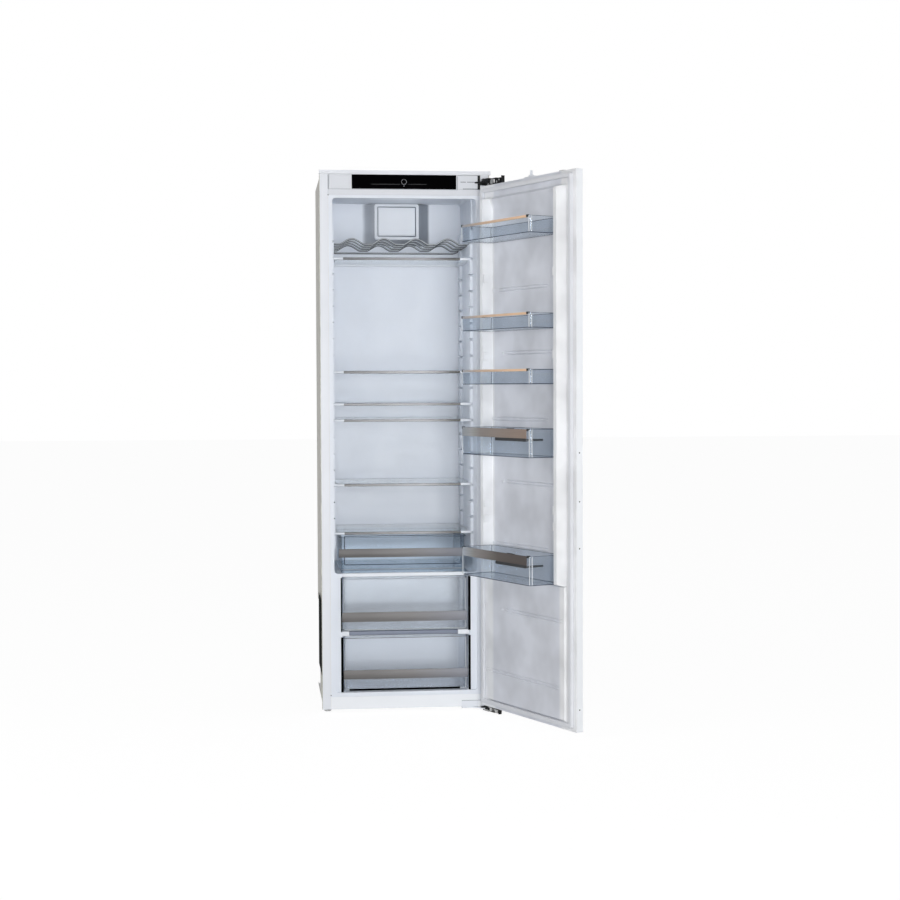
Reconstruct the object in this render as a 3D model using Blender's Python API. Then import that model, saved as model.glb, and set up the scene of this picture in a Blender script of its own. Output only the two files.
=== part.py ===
"""Tall built-in refrigerator, standing with its door open.

The cabinet's front looks along -Y, +X is to the right and +Z is up. The origin is the
centre of the base tray's underside. Lengths are in metres.
"""
import math

import bmesh
import bpy
from mathutils import Matrix, Vector

# Fits and walls
GAP = 0.0003            # clearance between pieces that touch
OVERRUN = 0.004         # how far a cutter runs past the face it cuts
SHEET = 0.0010          # sheet steel
LINER_WALL = 0.0020     # vacuum-formed plastic
TRAY_WALL = 0.0025      # moulded clear plastic

# Cabinet body
BODY_HEIGHT = 1.750     # up to the top panel
BODY_DEPTH = 0.508
SHELL_WIDTH = 0.546     # across the side panels
FLANGE_PROUD = 0.005    # of the front flanges over the sides
FLANGE_WIDTH = 0.0288   # of each side panel's front return
TRIM_HEIGHT = 0.012     # strip along the top front edge
TRIM_DEPTH = 0.022
TRIM_REACH = 0.0053     # of the strip's right end, past the flange
FASCIA_HEIGHT = 0.068
FASCIA_DEPTH = 0.015
SILL_HEIGHT = 0.0405
BACK_RECESS = 0.016     # depth behind the back panel, for the condenser
BACK_INSULATION = 0.031
BAY_DEPTH = 0.220       # machine compartment at the lower rear
BAY_HEIGHT = 0.309
BAY_INSULATION = 0.036
BAY_ROOF = 0.033        # insulation over the machine compartment
BAY_OPENING_LOW = 0.006
BAY_OPENING_INSET = 0.012

# Interior
SIDE_WALL = 0.0374      # thickness of the walls beside the opening
OPENING_LOW = 0.0543
RIM_HEIGHT = 0.010      # of the liner over the opening, up to the fascia
CORNER_RADIUS = 0.010
CEILING_RISE = 0.028    # of the ceiling over the opening's top
LIP_DEPTH = 0.020       # depth of the opening's top lip, below the ceiling
PILLAR_WIDTH = 0.0246   # of the liner's pillars, beside the lower drawers
LOWER_HEIGHT = 0.4450   # top of the pillars
PILLAR_SETBACK = 0.010

# Pads on the side walls, which carry the shelves
PITCH = 0.0539
SHELF_DATUM = 0.568
RACK_HEADROOM = 0.140   # at least, from the rack's pads to the ceiling
PAD_NOTCH = 0.008
PAD_PROUD = 0.0088
FRONT_PAD = (0.100, 0.080)      # start behind the front plane, and length
REAR_PAD = (0.008, 0.060)       # margin to the interior's back, and length

# Shelves
LOWER_SHELF_STEPS = (10, 8, 7, 3, 0)    # pad levels; the top shelf is one below the rack
SHELF_PLAY = 0.0011     # from a shelf's edge to the wall
SHELF_START = 0.120
SHELF_ROOM = 0.006      # free depth behind a shelf
SHELF_THICKNESS = 0.0074
SHELF_BORDER = 0.018
GLASS_THICKNESS = 0.0040
GLASS_SEAT = 0.007      # how far the pane overlaps its border

# Bottle rack
WIRE_RADIUS = 0.0025
RACK_START = 0.130
RACK_ROOM = 0.013       # free depth behind the rack's rails
RACK_FIRST_WIRE = 0.170
RACK_REAR_WIRE = 0.023  # from the interior's back to the last wire
RACK_WIRES = 4
RAIL_INSET = 0.0010     # from the pads' inner face to the rail
WAVE_MARGIN = 0.0116    # from the pads' face to the first wave
WAVE_HEIGHT = 0.0186
WAVE_SHIFT = -0.0020
WAVE_COUNT = 4
WAVE_DROP = 0.0015      # of the troughs below the rails
WAVE_SHARES = (0.0, 0.0, 0.42, 0.85, 1.0, 0.85, 0.42, 0.0)
LOOP_DROP = 0.012
LOOP_INSET = 0.016
LOOP_SLOPE = 0.016

# Drawers and the plates between them
DRAWER_START = 0.030
PLATE_START = 0.020
UPPER_PLATE_THICKNESS = 0.0116
LOWER_PLATE_TOP = 0.2535
LOWER_PLATE_THICKNESS = 0.0167
VENT_COUNT = 14
VENT_PITCH = 0.0285
VENT_LENGTH = 0.020
VENT_WIDTH = 0.006
VENT_START = 0.012
DRAWER_RADIUS = 0.010
RUNNER_WIDTH = 0.008
RUNNER_HEIGHT = 0.0040
RUNNER_INSET = 0.012
REAR_ROOM = 0.008       # free depth behind a drawer
HANDLE_DEPTH = 0.006
HANDLE_WALL = 0.002
HANDLE_MARGIN = 0.0015
UPPER_DRAWER_PLAY = 0.0230      # from a drawer's side to the wall
LOWER_DRAWER_PLAY = 0.0050
TRAY_ROOMS = (0.0095, 0.0155, 0.0203)       # over each drawer: shelf, pillars' top, plate
HANDLE_RISES = (0.0422, 0.0295, 0.0388)     # of each handle over its drawer's lower edge
HANDLE_HEIGHTS = (0.0288, 0.0313, 0.0299)

# Door
OPEN_ANGLE = math.radians(113.84)
DOOR_REVEAL = 0.003     # how much narrower than the front frame
DOOR_LOW = 0.0087
DOOR_DROP = 0.0410      # of the door's top below the top panel
DOOR_THICKNESS = 0.024
DOOR_GAP = 0.012        # from the cabinet's front plane to the door's flange, for the gasket
AXIS_FROM_EDGE = 0.0125
AXIS_FROM_FLANGE = 0.0134
DYKE_START = 0.050      # along the door, from its hinge side
DYKE_MARGIN = 0.0515    # to the door's free edge
DYKE_WIDTH = 0.0230
DYKE_HEIGHT = 0.035
DYKE_LOW = 0.4460
DYKE_DROP = 0.0420      # of the ridges below the door's top
DYKE_TOP_WIDTH = 0.012
PLATEAU_HEIGHT = 0.007
PLATEAU_LOW = 0.034
GASKET_INSET = 0.0146
GASKET_WIDTH = 0.0135
GASKET_RISE = 0.0113    # over the door's lower edge
GASKET_DROP = 0.0100    # below its upper edge

# Door bins
BIN_REACH = 0.120       # from the door's flange to the bin's front
BIN_RADIUS = 0.014
BIN_SHARES = (0.8792, 0.6454, 0.5061, 0.3233, 0.0061)       # places of the bins' floors along the ridges
BIN_HEIGHTS = (0.0515, 0.0460, 0.0455, 0.0869, 0.0900)
SMALL_BIN_COUNT = 3     # the upper ones, which have no band and no holder
BAND_HEIGHT = 0.028
BAND_THICKNESS = 0.0020
HOLDER_LENGTH = 0.180
HOLDER_MARGIN = 0.0182  # from the bin's free end
HOLDER_HEIGHT = 0.010
HOLDER_THICKNESS = 0.004
HOLDER_REACH = 0.062
CLIP_LENGTH = 0.040
CLIP_THICKNESS = 0.0015

# Hinges
PIN_RADIUS = 0.003
PIN_CLEARANCE = 0.0004
KNUCKLE_RADIUS = 0.009
ARM_LENGTH = 0.020
ARM_RADIUS = 0.006
ARM_TIP_RADIUS = 0.005
ARM_CLOSED_ANGLE = math.radians(150.0)
ARM_GAP = 0.0010
LEAF_LENGTH = 0.130
LEAF_INSET = 0.003      # from the door's faces
LEAF_PLATE = 0.0030
LEAF_BLOCK_START = 0.045
LEAF_BLOCK_INSET = 0.001
TOP_BLOCK_HEIGHT = 0.028
LOW_BLOCK_HEIGHT = 0.016
CUP_PLATE = 0.0045      # plate fixed to the cabinet
CUP_LIFT = 0.0130       # of the upper plate, over the door
CUP_NECK = 0.018        # width of the plate where it leaves the cabinet
CUP_STEP = 0.004        # room in front of the flange
CUP_SIZE = (0.068, 0.028)       # width and depth of the housing behind the fascia
LOW_UPRIGHT = (0.0544, 0.0410)  # length of the lower hinge's plate, and its inset from the frame's edge
LOW_UPRIGHT_TOP = 0.0195
LOW_UPRIGHT_PLATE = 0.0015
LOW_CUP_DEPTH = 0.017

# Control panel
GLASS_MARGINS = (0.0770, 0.0045)    # from the liner's left edge, and to the hinge's cover
GLASS_DROP = 0.002      # below the top panel
GLASS_HEIGHT = 0.046
GLASS_DEPTH = 0.004
HINGE_COVER = (0.0660, 0.0084)  # width, and inset from the liner's edge
COVER_THICKNESS = 0.002
CAP_SEAM = 0.003        # groove at the fascia's left end

# Feet, machinery, fan and light
FOOT_RADIUS = 0.012
FOOT_HEIGHT = 0.010
FOOT_PAD = 0.007
STUD_RADIUS = 0.004
STUD_LENGTH = 0.034
STUD_SOCKET = 0.002     # room round a stud in the insulation
FOOT_MARGIN = 0.0140    # from a foot's middle to the side
FOOT_INSET = 0.030
SKID_WIDTH = 0.030
SKID_LENGTH = 0.040
SKID_INSET = 0.030
COMPRESSOR_WIDTH = 0.230
COMPRESSOR_DEPTH = 0.150
COMPRESSOR_HEIGHT = 0.165
CAN_SHARES = (0.43, 0.48, 0.46)     # of the compressor's width, depth and height
CAN_SWELL_SHARE = 0.15
CAN_LIFT_SHARE = 0.52
CAN_FEET_SHARES = (0.35, 0.20)      # of its depth and height
PIPE_RADIUS = 0.004
CONDENSER_RADIUS = 0.0025
CONDENSER_RUNS = 16
CONDENSER_WIDTH = 0.420
CONDENSER_RISE = 0.041  # over the machine compartment
CONDENSER_DROP = 0.100  # below the top panel
FAN_X = 0.0085
COVER_WIDTH = 0.156
COVER_DEPTH = 0.0277
COVER_HEIGHT = 0.125
COVER_ROOF = 0.001      # room between the fan's cover and the ceiling
COVER_RADIUS = 0.006
PANEL_PROUD = 0.002
PANEL_SHARES = (0.40, 0.42)     # of the cover's width and height
SLOT_COUNT = 5
SLOT_SHARES = (0.15, 0.06)      # pitch and height, of the cover's height
SLOT_DEPTH_SHARES = (0.30, 0.70)
FAN_RADIUS = 0.046
FAN_BLADES = 7
FAN_START = 0.004       # from the cover's front
FAN_DEPTH = 0.0130
HUB_RADIUS = 0.014
BLADE_THICKNESS = 0.0012
BLADE_ROOT_SHARE = 0.6
BLADE_SPAN_SHARE = 0.8
BLADE_PITCH = math.radians(35)
MOTOR_RADIUS = 0.018
MOTOR_DEPTH = 0.0099
SHAFT_RADIUS = 0.002
BORE_FLOOR = 0.003
LAMP_LEFT = -0.100
LAMP_RIGHT = 0.080
LAMP_START = 0.205
LAMP_DEPTH = 0.040
LAMP_HEIGHT = 0.0077
LAMP_CHAMFER = 0.004

# Adjuster on the door's top
ADJUSTER_PLACE = 0.289  # along the door
ADJUSTER_LENGTH = 0.056
ADJUSTER_PLATE = 0.003
ADJUSTER_HEIGHT = 0.022

# Derived places
FRONT = -BODY_DEPTH / 2
REAR = BODY_DEPTH / 2
HALF_SHELL = SHELL_WIDTH / 2
INNER_HALF = HALF_SHELL - SHEET
HALF_FRAME = HALF_SHELL + FLANGE_PROUD
TRIM_RIGHT = HALF_FRAME + TRIM_REACH
FOOT_X = HALF_SHELL - FOOT_MARGIN
FLANGE_EDGE = HALF_FRAME - FLANGE_WIDTH
RIM_EDGE = FLANGE_EDGE - GAP
HALF_OPENING = HALF_SHELL - SIDE_WALL
HALF_LOWER = HALF_OPENING - PILLAR_WIDTH
HALF_SHELF = HALF_OPENING - SHELF_PLAY
HALF_UPPER_DRAWER = HALF_OPENING - UPPER_DRAWER_PLAY
HALF_LOWER_DRAWER = HALF_LOWER - LOWER_DRAWER_PLAY
PANEL_FRONT = REAR - BACK_RECESS - SHEET
INTERIOR_BACK = PANEL_FRONT - BACK_INSULATION - LINER_WALL
SHELL_TOP = BODY_HEIGHT - SHEET - GAP
FASCIA_LOW = BODY_HEIGHT - FASCIA_HEIGHT
OPENING_HIGH = FASCIA_LOW - RIM_HEIGHT
CEILING = OPENING_HIGH + CEILING_RISE
GLASS_HIGH = BODY_HEIGHT - GLASS_DROP
GLASS_LOW = GLASS_HIGH - GLASS_HEIGHT
COVER_RIGHT = RIM_EDGE - HINGE_COVER[1]
COVER_LEFT = COVER_RIGHT - HINGE_COVER[0]
GLASS_LEFT = GLASS_MARGINS[0] - RIM_EDGE
GLASS_RIGHT = COVER_LEFT - GLASS_MARGINS[1]
BAY_FRONT = REAR - BAY_DEPTH
STEP_BACK = BAY_FRONT - BAY_INSULATION - LINER_WALL
STEP_TOP = BAY_HEIGHT + BAY_ROOF
INTERIOR_DEPTH = INTERIOR_BACK - FRONT
SHELF_DEPTH = INTERIOR_DEPTH - SHELF_START - SHELF_ROOM
RACK_LENGTH = INTERIOR_DEPTH - RACK_START - RACK_ROOM
RACK_LAST_WIRE = INTERIOR_DEPTH - RACK_REAR_WIRE
ROOFS = (SHELF_DATUM, LOWER_HEIGHT, LOWER_PLATE_TOP)
DRAWER_TOPS = [roof - room for roof, room in zip(ROOFS, TRAY_ROOMS)]
CONDENSER_LOW = BAY_HEIGHT + CONDENSER_RISE
CONDENSER_HIGH = BODY_HEIGHT - CONDENSER_DROP
PAD_HEIGHT = PITCH - PAD_NOTCH
PAD_FACE = HALF_OPENING - PAD_PROUD
RACK_LEVEL = int((CEILING - RACK_HEADROOM - SHELF_DATUM) / PITCH)
PAD_COUNT = RACK_LEVEL + 2
SHELF_STEPS = (RACK_LEVEL - 1, *LOWER_SHELF_STEPS)
WAVE_PITCH = 2 * (PAD_FACE - WAVE_MARGIN) / WAVE_COUNT
DOOR_WIDTH = 2 * HALF_FRAME - DOOR_REVEAL
DOOR_HIGH = BODY_HEIGHT - DOOR_DROP
DYKE_END = DOOR_WIDTH - DYKE_MARGIN
DYKE_HIGH = DOOR_HIGH - DYKE_DROP
BIN_LOWS = [DYKE_LOW + share * (DYKE_HIGH - DYKE_LOW) for share in BIN_SHARES]
BIN_SPANS = [(low, low + height) for low, height in zip(BIN_LOWS, BIN_HEIGHTS)]
GASKET_LOW = DOOR_LOW + GASKET_RISE
GASKET_HIGH = DOOR_HIGH - GASKET_DROP
AXIS_X = DOOR_WIDTH / 2 - AXIS_FROM_EDGE
AXIS_Y = FRONT - DOOR_GAP - AXIS_FROM_FLANGE
CUP_LOW = DOOR_HIGH + CUP_LIFT
FAN_Z = CEILING - COVER_ROOF - COVER_HEIGHT / 2
BIN_START = DYKE_START + DYKE_WIDTH + GAP
BIN_END = DYKE_END - DYKE_WIDTH - GAP
HOLDER_END = BIN_END - HOLDER_MARGIN

# Finishes: colour, roughness, metallic, alpha
WHITE_STEEL = ((0.87, 0.88, 0.90), 0.35, 0.0, 1.0)
WHITE_PLASTIC = ((0.86, 0.87, 0.89), 0.40, 0.0, 1.0)
LINER_PLASTIC = ((0.80, 0.83, 0.87), 0.45, 0.0, 1.0)
FOAM = ((0.86, 0.80, 0.60), 0.90, 0.0, 1.0)
BLACK_GLASS = ((0.01, 0.01, 0.012), 0.08, 0.0, 1.0)
BLACK_PLASTIC = ((0.03, 0.03, 0.035), 0.40, 0.0, 1.0)
CLEAR_GLASS = ((0.75, 0.86, 0.88), 0.05, 0.0, 0.35)
CLEAR_PLASTIC = ((0.62, 0.74, 0.82), 0.12, 0.0, 0.45)
BRUSHED_STEEL = ((0.55, 0.53, 0.51), 0.35, 0.9, 1.0)
ZINC_STEEL = ((0.62, 0.63, 0.64), 0.40, 0.8, 1.0)
CHROME = ((0.75, 0.76, 0.78), 0.15, 1.0, 1.0)
BLACK_STEEL = ((0.02, 0.02, 0.022), 0.35, 0.3, 1.0)
SEAL = ((0.66, 0.68, 0.71), 0.70, 0.0, 1.0)
LAMP_LENS = ((0.92, 0.94, 0.96), 0.30, 0.0, 1.0)


def clear_scene():
    """Remove what a new file holds."""
    for old in list(bpy.data.objects):
        bpy.data.objects.remove(old)


def new_material(name, finish):
    """A Principled material with one finish."""
    colour, roughness, metallic, alpha = finish
    material = bpy.data.materials.new(name)
    material.use_nodes = True
    shader = material.node_tree.nodes["Principled BSDF"]
    shader.inputs["Base Color"].default_value = (*colour, 1.0)
    shader.inputs["Roughness"].default_value = roughness
    shader.inputs["Metallic"].default_value = metallic
    shader.inputs["Alpha"].default_value = alpha
    return material


def place(obj, finish=None, parent=None):
    """Link an object, with its parent and its own material."""
    bpy.context.scene.collection.objects.link(obj)
    if finish:
        obj.data.materials.append(new_material(obj.name, finish))
    obj.parent = parent
    return obj


def from_bmesh(name, bm, finish=None, parent=None):
    """An object from a bmesh whose faces are turned outwards first."""
    bmesh.ops.recalc_face_normals(bm, faces=bm.faces)
    mesh = bpy.data.meshes.new(name)
    bm.to_mesh(mesh)
    bm.free()
    return place(bpy.data.objects.new(name, mesh), finish, parent)


def smooth(obj):
    """Shade round faces smooth and keep the sharp edges."""
    obj.data.shade_smooth()
    obj.data.set_sharp_from_angle(angle=math.radians(35))
    return obj


def box(name, low, high, finish=None, parent=None, radius=0, along=None, segments=2):
    """A block between two corners, with the edges that run along one axis rounded."""
    bm = bmesh.new()
    centre = (Vector(low) + Vector(high)) / 2
    size = Vector(high) - Vector(low)
    bmesh.ops.create_cube(bm, size=1, matrix=Matrix.Translation(centre) @ Matrix.Diagonal((*size, 1)))
    if radius:
        edges = [e for e in bm.edges if abs((e.verts[0].co - e.verts[1].co)[along]) > GAP]
        bmesh.ops.bevel(bm, geom=edges, offset=radius, segments=segments, profile=0.5, affect="EDGES")
    made = from_bmesh(name, bm, finish, parent)
    return smooth(made) if radius else made


def prism(name, outline, axis, low, high, finish=None, parent=None):
    """An outline swept along one axis: (y, z) points along X, (x, z) along Y, (x, y) along Z."""
    def corner(u, v, w):
        point = [u, v]
        point.insert(axis, w)
        return point

    bm = bmesh.new()
    face = bm.faces.new([bm.verts.new(corner(u, v, low)) for u, v in outline])
    swept = bmesh.ops.extrude_face_region(bm, geom=[face])["geom"]
    moved = [v for v in swept if isinstance(v, bmesh.types.BMVert)]
    bmesh.ops.translate(bm, verts=moved, vec=corner(0, 0, high - low))
    return from_bmesh(name, bm, finish, parent)


def rod(name, start, radius, length, axis=2, sides=16, finish=None, parent=None):
    """A round bar from a point along one axis."""
    turns = (Matrix.Rotation(math.pi / 2, 4, "Y"), Matrix.Rotation(-math.pi / 2, 4, "X"), Matrix())
    middle = Vector(start)
    middle[axis] += length / 2
    bm = bmesh.new()
    bmesh.ops.create_cone(bm, cap_ends=True, segments=sides, radius1=radius, radius2=radius,
                          depth=length, matrix=Matrix.Translation(middle) @ turns[axis])
    return smooth(from_bmesh(name, bm, finish, parent))


def wire(name, points, normal, radius, sides=6, finish=None, parent=None):
    """A bent wire: rings square to the path, which lies in the plane with this normal."""
    path = [Vector(point) for point in points]
    normal = Vector(normal)
    bm = bmesh.new()
    rings = []
    for index, point in enumerate(path):
        before = (point - path[index - 1]).normalized() if index else Vector()
        after = (path[index + 1] - point).normalized() if index + 1 < len(path) else Vector()
        across = (before + after).normalized().cross(normal)
        turns = [2 * math.pi * side / sides for side in range(sides)]
        ring = [point + radius * (math.cos(turn) * normal + math.sin(turn) * across) for turn in turns]
        rings.append([bm.verts.new(corner) for corner in ring])
    for near, far in zip(rings, rings[1:]):
        for side in range(sides):
            following = (side + 1) % sides
            bm.faces.new((near[side], near[following], far[following], far[side]))
    bm.faces.new(rings[0])
    bm.faces.new(rings[-1])
    return smooth(from_bmesh(name, bm, finish, parent))


def combine(obj, operation, tools):
    """Apply each tool, which isn't a piece by itself, to an object."""
    for tool in tools:
        tool.hide_render = True
        tool.display_type = "WIRE"
        step = obj.modifiers.new(tool.name, "BOOLEAN")
        step.operation = operation
        step.solver = "EXACT"
        step.object = tool
    return obj


def cut(obj, *tools):
    return combine(obj, "DIFFERENCE", tools)


def add(obj, *tools):
    return combine(obj, "UNION", tools)


def level(step):
    """Middle height of a notch between two pads."""
    return SHELF_DATUM + step * PITCH


# Cabinet


def make_side_panels():
    """Side sheets with their front returns, cut away beside the machine compartment."""
    outline = [
        (HALF_FRAME, FRONT), (HALF_FRAME, FRONT + SHEET), (HALF_SHELL, FRONT + SHEET), (HALF_SHELL, REAR),
        (INNER_HALF, REAR), (INNER_HALF, FRONT + SHEET), (FLANGE_EDGE, FRONT + SHEET), (FLANGE_EDGE, FRONT),
    ]
    for label, side in (("left", -1), ("right", 1)):
        turned = [(side * u, v) for u, v in outline]
        panel = prism(f"side_panel_{label}", turned, 2, 0, SHELL_TOP, WHITE_STEEL)
        middle = side * HALF_SHELL
        front = BAY_FRONT + BAY_OPENING_INSET
        window = box(f"bay_opening_{label}", (middle - OVERRUN, front, BAY_OPENING_LOW),
                     (middle + OVERRUN, REAR + OVERRUN, BAY_HEIGHT))
        cut(panel, window)


def make_top():
    """Top sheet, and the angled strip along its front edge."""
    box("top_panel", (-HALF_SHELL, FRONT, BODY_HEIGHT - SHEET), (HALF_SHELL, REAR, BODY_HEIGHT),
        WHITE_STEEL)
    low = BODY_HEIGHT + GAP
    high = BODY_HEIGHT + TRIM_HEIGHT
    wall = 2 * SHEET
    outline = [
        (FRONT, low), (FRONT + TRIM_DEPTH, low), (FRONT + TRIM_DEPTH, low + wall),
        (FRONT + wall, low + wall), (FRONT + wall, high), (FRONT, high),
    ]
    prism("top_trim", outline, 0, -HALF_FRAME, TRIM_RIGHT, WHITE_STEEL)


def make_base_tray():
    """Floor of the cabinet, with the sill across its front and two skids at the rear."""
    half = INNER_HALF - GAP
    tray = box("base_tray", (-half, FRONT + SHEET + GAP, 0), (half, REAR, 2 * SHEET), WHITE_STEEL)
    sill = box("sill", (-RIM_EDGE, FRONT, 0), (RIM_EDGE, FRONT + 2 * SHEET, SILL_HEIGHT))
    add(tray, sill)
    for side in (-1, 1):
        middle = side * (FOOT_X - SKID_WIDTH / 2)
        skid = box(f"skid_{side}", (middle - SKID_WIDTH / 2, REAR - SKID_INSET - SKID_LENGTH, -FOOT_HEIGHT),
                   (middle + SKID_WIDTH / 2, REAR - SKID_INSET, SHEET))
        add(tray, skid)
    for side in (-1, 1):
        hole = rod(f"stud_hole_{side}", (side * FOOT_X, FRONT + FOOT_INSET, -OVERRUN),
                   STUD_RADIUS + PIN_CLEARANCE, 2 * SHEET + 2 * OVERRUN)
        cut(tray, hole)
    left, right = upright_ends()
    window = box("hinge_window", (left - GAP, FRONT - OVERRUN, -OVERRUN),
                 (right + GAP, FRONT + LOW_UPRIGHT_PLATE + GAP, LOW_UPRIGHT_TOP + GAP))
    cut(tray, window)


def upright_ends():
    """Left and right ends of the lower hinge's upright plate."""
    length, inset = LOW_UPRIGHT
    return HALF_FRAME - inset - length, HALF_FRAME - inset


def interior_rooms(grow):
    """The interior's blocks behind the opening, grown by a wall: name, low corner, high corner."""
    half = HALF_OPENING + grow
    lower = HALF_LOWER + grow
    lip = FRONT + LIP_DEPTH
    pillar = FRONT + PILLAR_SETBACK - LINER_WALL
    back = INTERIOR_BACK + grow
    top = LOWER_HEIGHT + LIP_DEPTH
    return (
        ("upper", (-half, lip - grow, LOWER_HEIGHT - grow), (half, back, CEILING + grow)),
        ("middle", (-lower, pillar, STEP_TOP - grow), (lower, back, top)),
        ("bottom", (-lower, pillar, OPENING_LOW - grow), (lower, STEP_BACK + grow, top)),
    )


def opening_block(grow, low_y, high_y, low_z=OPENING_LOW):
    """Corners of a block as wide as the opening."""
    half = HALF_OPENING + grow
    return (-half, low_y, low_z - grow), (half, high_y, OPENING_HIGH + grow)


def make_liner():
    """Formed plastic interior with its front rim, and the pads that carry the shelves."""
    liner = box("cabinet_liner", (-RIM_EDGE, FRONT, SILL_HEIGHT + GAP),
                (RIM_EDGE, FRONT + LINER_WALL, FASCIA_LOW - GAP), LINER_PLASTIC)
    outer = CORNER_RADIUS + LINER_WALL
    lip = FRONT + LIP_DEPTH
    walls = [box("opening_wall", *opening_block(LINER_WALL, FRONT + GAP, lip), radius=outer, along=1)]
    for name, low, high in interior_rooms(LINER_WALL):
        walls.append(box(f"{name}_wall", low, high, radius=outer, along=1))
    add(liner, *walls)
    low, high = opening_block(0, FRONT - OVERRUN, FRONT + PILLAR_SETBACK)
    rooms = [box("opening_room", low, high, radius=CORNER_RADIUS, along=1)]
    low, high = opening_block(0, FRONT - OVERRUN, lip + LINER_WALL, LOWER_HEIGHT)
    rooms.append(box("lip_room", low, high, radius=CORNER_RADIUS, along=1))
    for name, low, high in interior_rooms(0):
        rooms.append(box(f"{name}_room", low, high, radius=CORNER_RADIUS, along=1))
    cut(liner, *rooms)
    for side in (-1, 1):
        start, length = FRONT_PAD
        add(liner, make_pads(f"pads_front_{side}", side, FRONT + start, length))
        margin, length = REAR_PAD
        add(liner, make_pads(f"pads_rear_{side}", side, INTERIOR_BACK - margin - length, length))


def make_pads(name, side, start, length):
    """One column of pads, a notch apart, bedded in the side wall."""
    faces = sorted((side * PAD_FACE, side * (HALF_OPENING + LINER_WALL / 2)))
    low = level(-1) + PAD_NOTCH / 2
    pads = box(name, (faces[0], start, low), (faces[1], start + length, low + PAD_HEIGHT))
    repeat = pads.modifiers.new("levels", "ARRAY")
    repeat.count = PAD_COUNT
    repeat.use_relative_offset = False
    repeat.use_constant_offset = True
    repeat.constant_offset_displace = (0, 0, PITCH)
    return pads


def cup_corners():
    """Corners of the upper hinge's housing, behind its cover."""
    width, depth = CUP_SIZE
    front = FRONT + COVER_THICKNESS + GAP
    right = RIM_EDGE - GAP
    return (right - width, front, CEILING + LINER_WALL + 2 * GAP), (right, front + depth, GLASS_HIGH)


def make_foam():
    """Insulation between the liner and the panels, stepped over the machine compartment."""
    half = INNER_HALF - GAP
    front = FRONT + 2 * SHEET + GAP
    foam = box("cabinet_foam", (-half, front, 2 * SHEET + GAP),
               (half, BAY_FRONT - SHEET - GAP, SHELL_TOP), FOAM)
    rear = box("foam_rear", (-half, STEP_BACK, BAY_HEIGHT + GAP), (half, PANEL_FRONT - GAP, SHELL_TOP))
    add(foam, rear)
    grow = LINER_WALL + GAP
    rooms = [box("foam_opening", *opening_block(grow, FRONT, FRONT + LIP_DEPTH))]
    for name, low, high in interior_rooms(grow):
        rooms.append(box(f"foam_{name}", low, high))
    wide = half + OVERRUN
    rooms.append(box("foam_fascia", (-wide, FRONT, FASCIA_LOW - GAP),
                     (wide, FRONT + FASCIA_DEPTH + GAP, BODY_HEIGHT)))
    low, high = cup_corners()
    rooms.append(box("foam_hinge", (low[0] - GAP, FRONT, low[2] - GAP), [end + GAP for end in high]))
    for side in (-1, 1):
        rooms.append(rod(f"foam_stud_{side}", (side * FOOT_X, FRONT + FOOT_INSET, 0),
                         STUD_RADIUS + STUD_SOCKET, STUD_LENGTH, sides=12))
    cut(foam, *rooms)


def make_back_panel():
    """Rear sheet, folded over and in front of the machine compartment."""
    half = INNER_HALF - GAP
    floor = 2 * SHEET + GAP
    step = BAY_FRONT - SHEET
    roof = BAY_HEIGHT - SHEET
    outline = [
        (PANEL_FRONT, SHELL_TOP), (PANEL_FRONT, BAY_HEIGHT), (step, BAY_HEIGHT), (step, floor),
        (BAY_FRONT, floor), (BAY_FRONT, roof), (PANEL_FRONT + SHEET, roof), (PANEL_FRONT + SHEET, SHELL_TOP),
    ]
    prism("back_panel", outline, 0, -half, half, ZINC_STEEL)


def make_condenser():
    """Serpentine of steel tube, lying on the back panel."""
    y = PANEL_FRONT + SHEET + GAP + CONDENSER_RADIUS
    rise = (CONDENSER_HIGH - CONDENSER_LOW) / (CONDENSER_RUNS - 1)
    bend = rise / 2
    straight = CONDENSER_WIDTH / 2 - bend
    points = []
    for run in range(CONDENSER_RUNS):
        side = 1 if run % 2 == 0 else -1
        z = CONDENSER_LOW + run * rise
        points += [(-side * straight, y, z), (side * straight, y, z)]
        if run < CONDENSER_RUNS - 1:
            for turn in (-math.pi / 4, 0, math.pi / 4):
                x = straight + bend * math.cos(turn)
                points.append((side * x, y, z + bend + bend * math.sin(turn)))
    wire("condenser_coil", points, (0, 1, 0), CONDENSER_RADIUS, 6, BLACK_STEEL)


def make_compressor():
    """Domed steel can on its mounting plate, with the suction pipe on top."""
    floor = 2 * SHEET + GAP
    middle = (BAY_FRONT + REAR) / 2
    sizes = (COMPRESSOR_WIDTH, COMPRESSOR_DEPTH, COMPRESSOR_HEIGHT)
    across, deep, tall = (share * size for share, size in zip(CAN_SHARES, sizes))
    bm = bmesh.new()
    bmesh.ops.create_uvsphere(bm, u_segments=20, v_segments=12, radius=1)
    for vert in bm.verts:
        swell = 1 - abs(vert.co.z) ** 6 * CAN_SWELL_SHARE
        vert.co = Vector((vert.co.x * swell * across, vert.co.y * swell * deep, vert.co.z * tall))
    bmesh.ops.translate(bm, verts=bm.verts, vec=(0, middle, floor + COMPRESSOR_HEIGHT * CAN_LIFT_SHARE))
    can = smooth(from_bmesh("compressor", bm, BLACK_STEEL))
    deep_share, tall_share = CAN_FEET_SHARES
    reach = COMPRESSOR_DEPTH * deep_share
    feet = box("compressor_feet", (-COMPRESSOR_WIDTH / 2, middle - reach, floor),
               (COMPRESSOR_WIDTH / 2, middle + reach, floor + COMPRESSOR_HEIGHT * tall_share))
    pipe = rod("compressor_pipe", (across / 2, middle, floor + COMPRESSOR_HEIGHT / 2), PIPE_RADIUS,
               COMPRESSOR_HEIGHT / 2, sides=8)
    add(can, feet, pipe)


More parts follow.
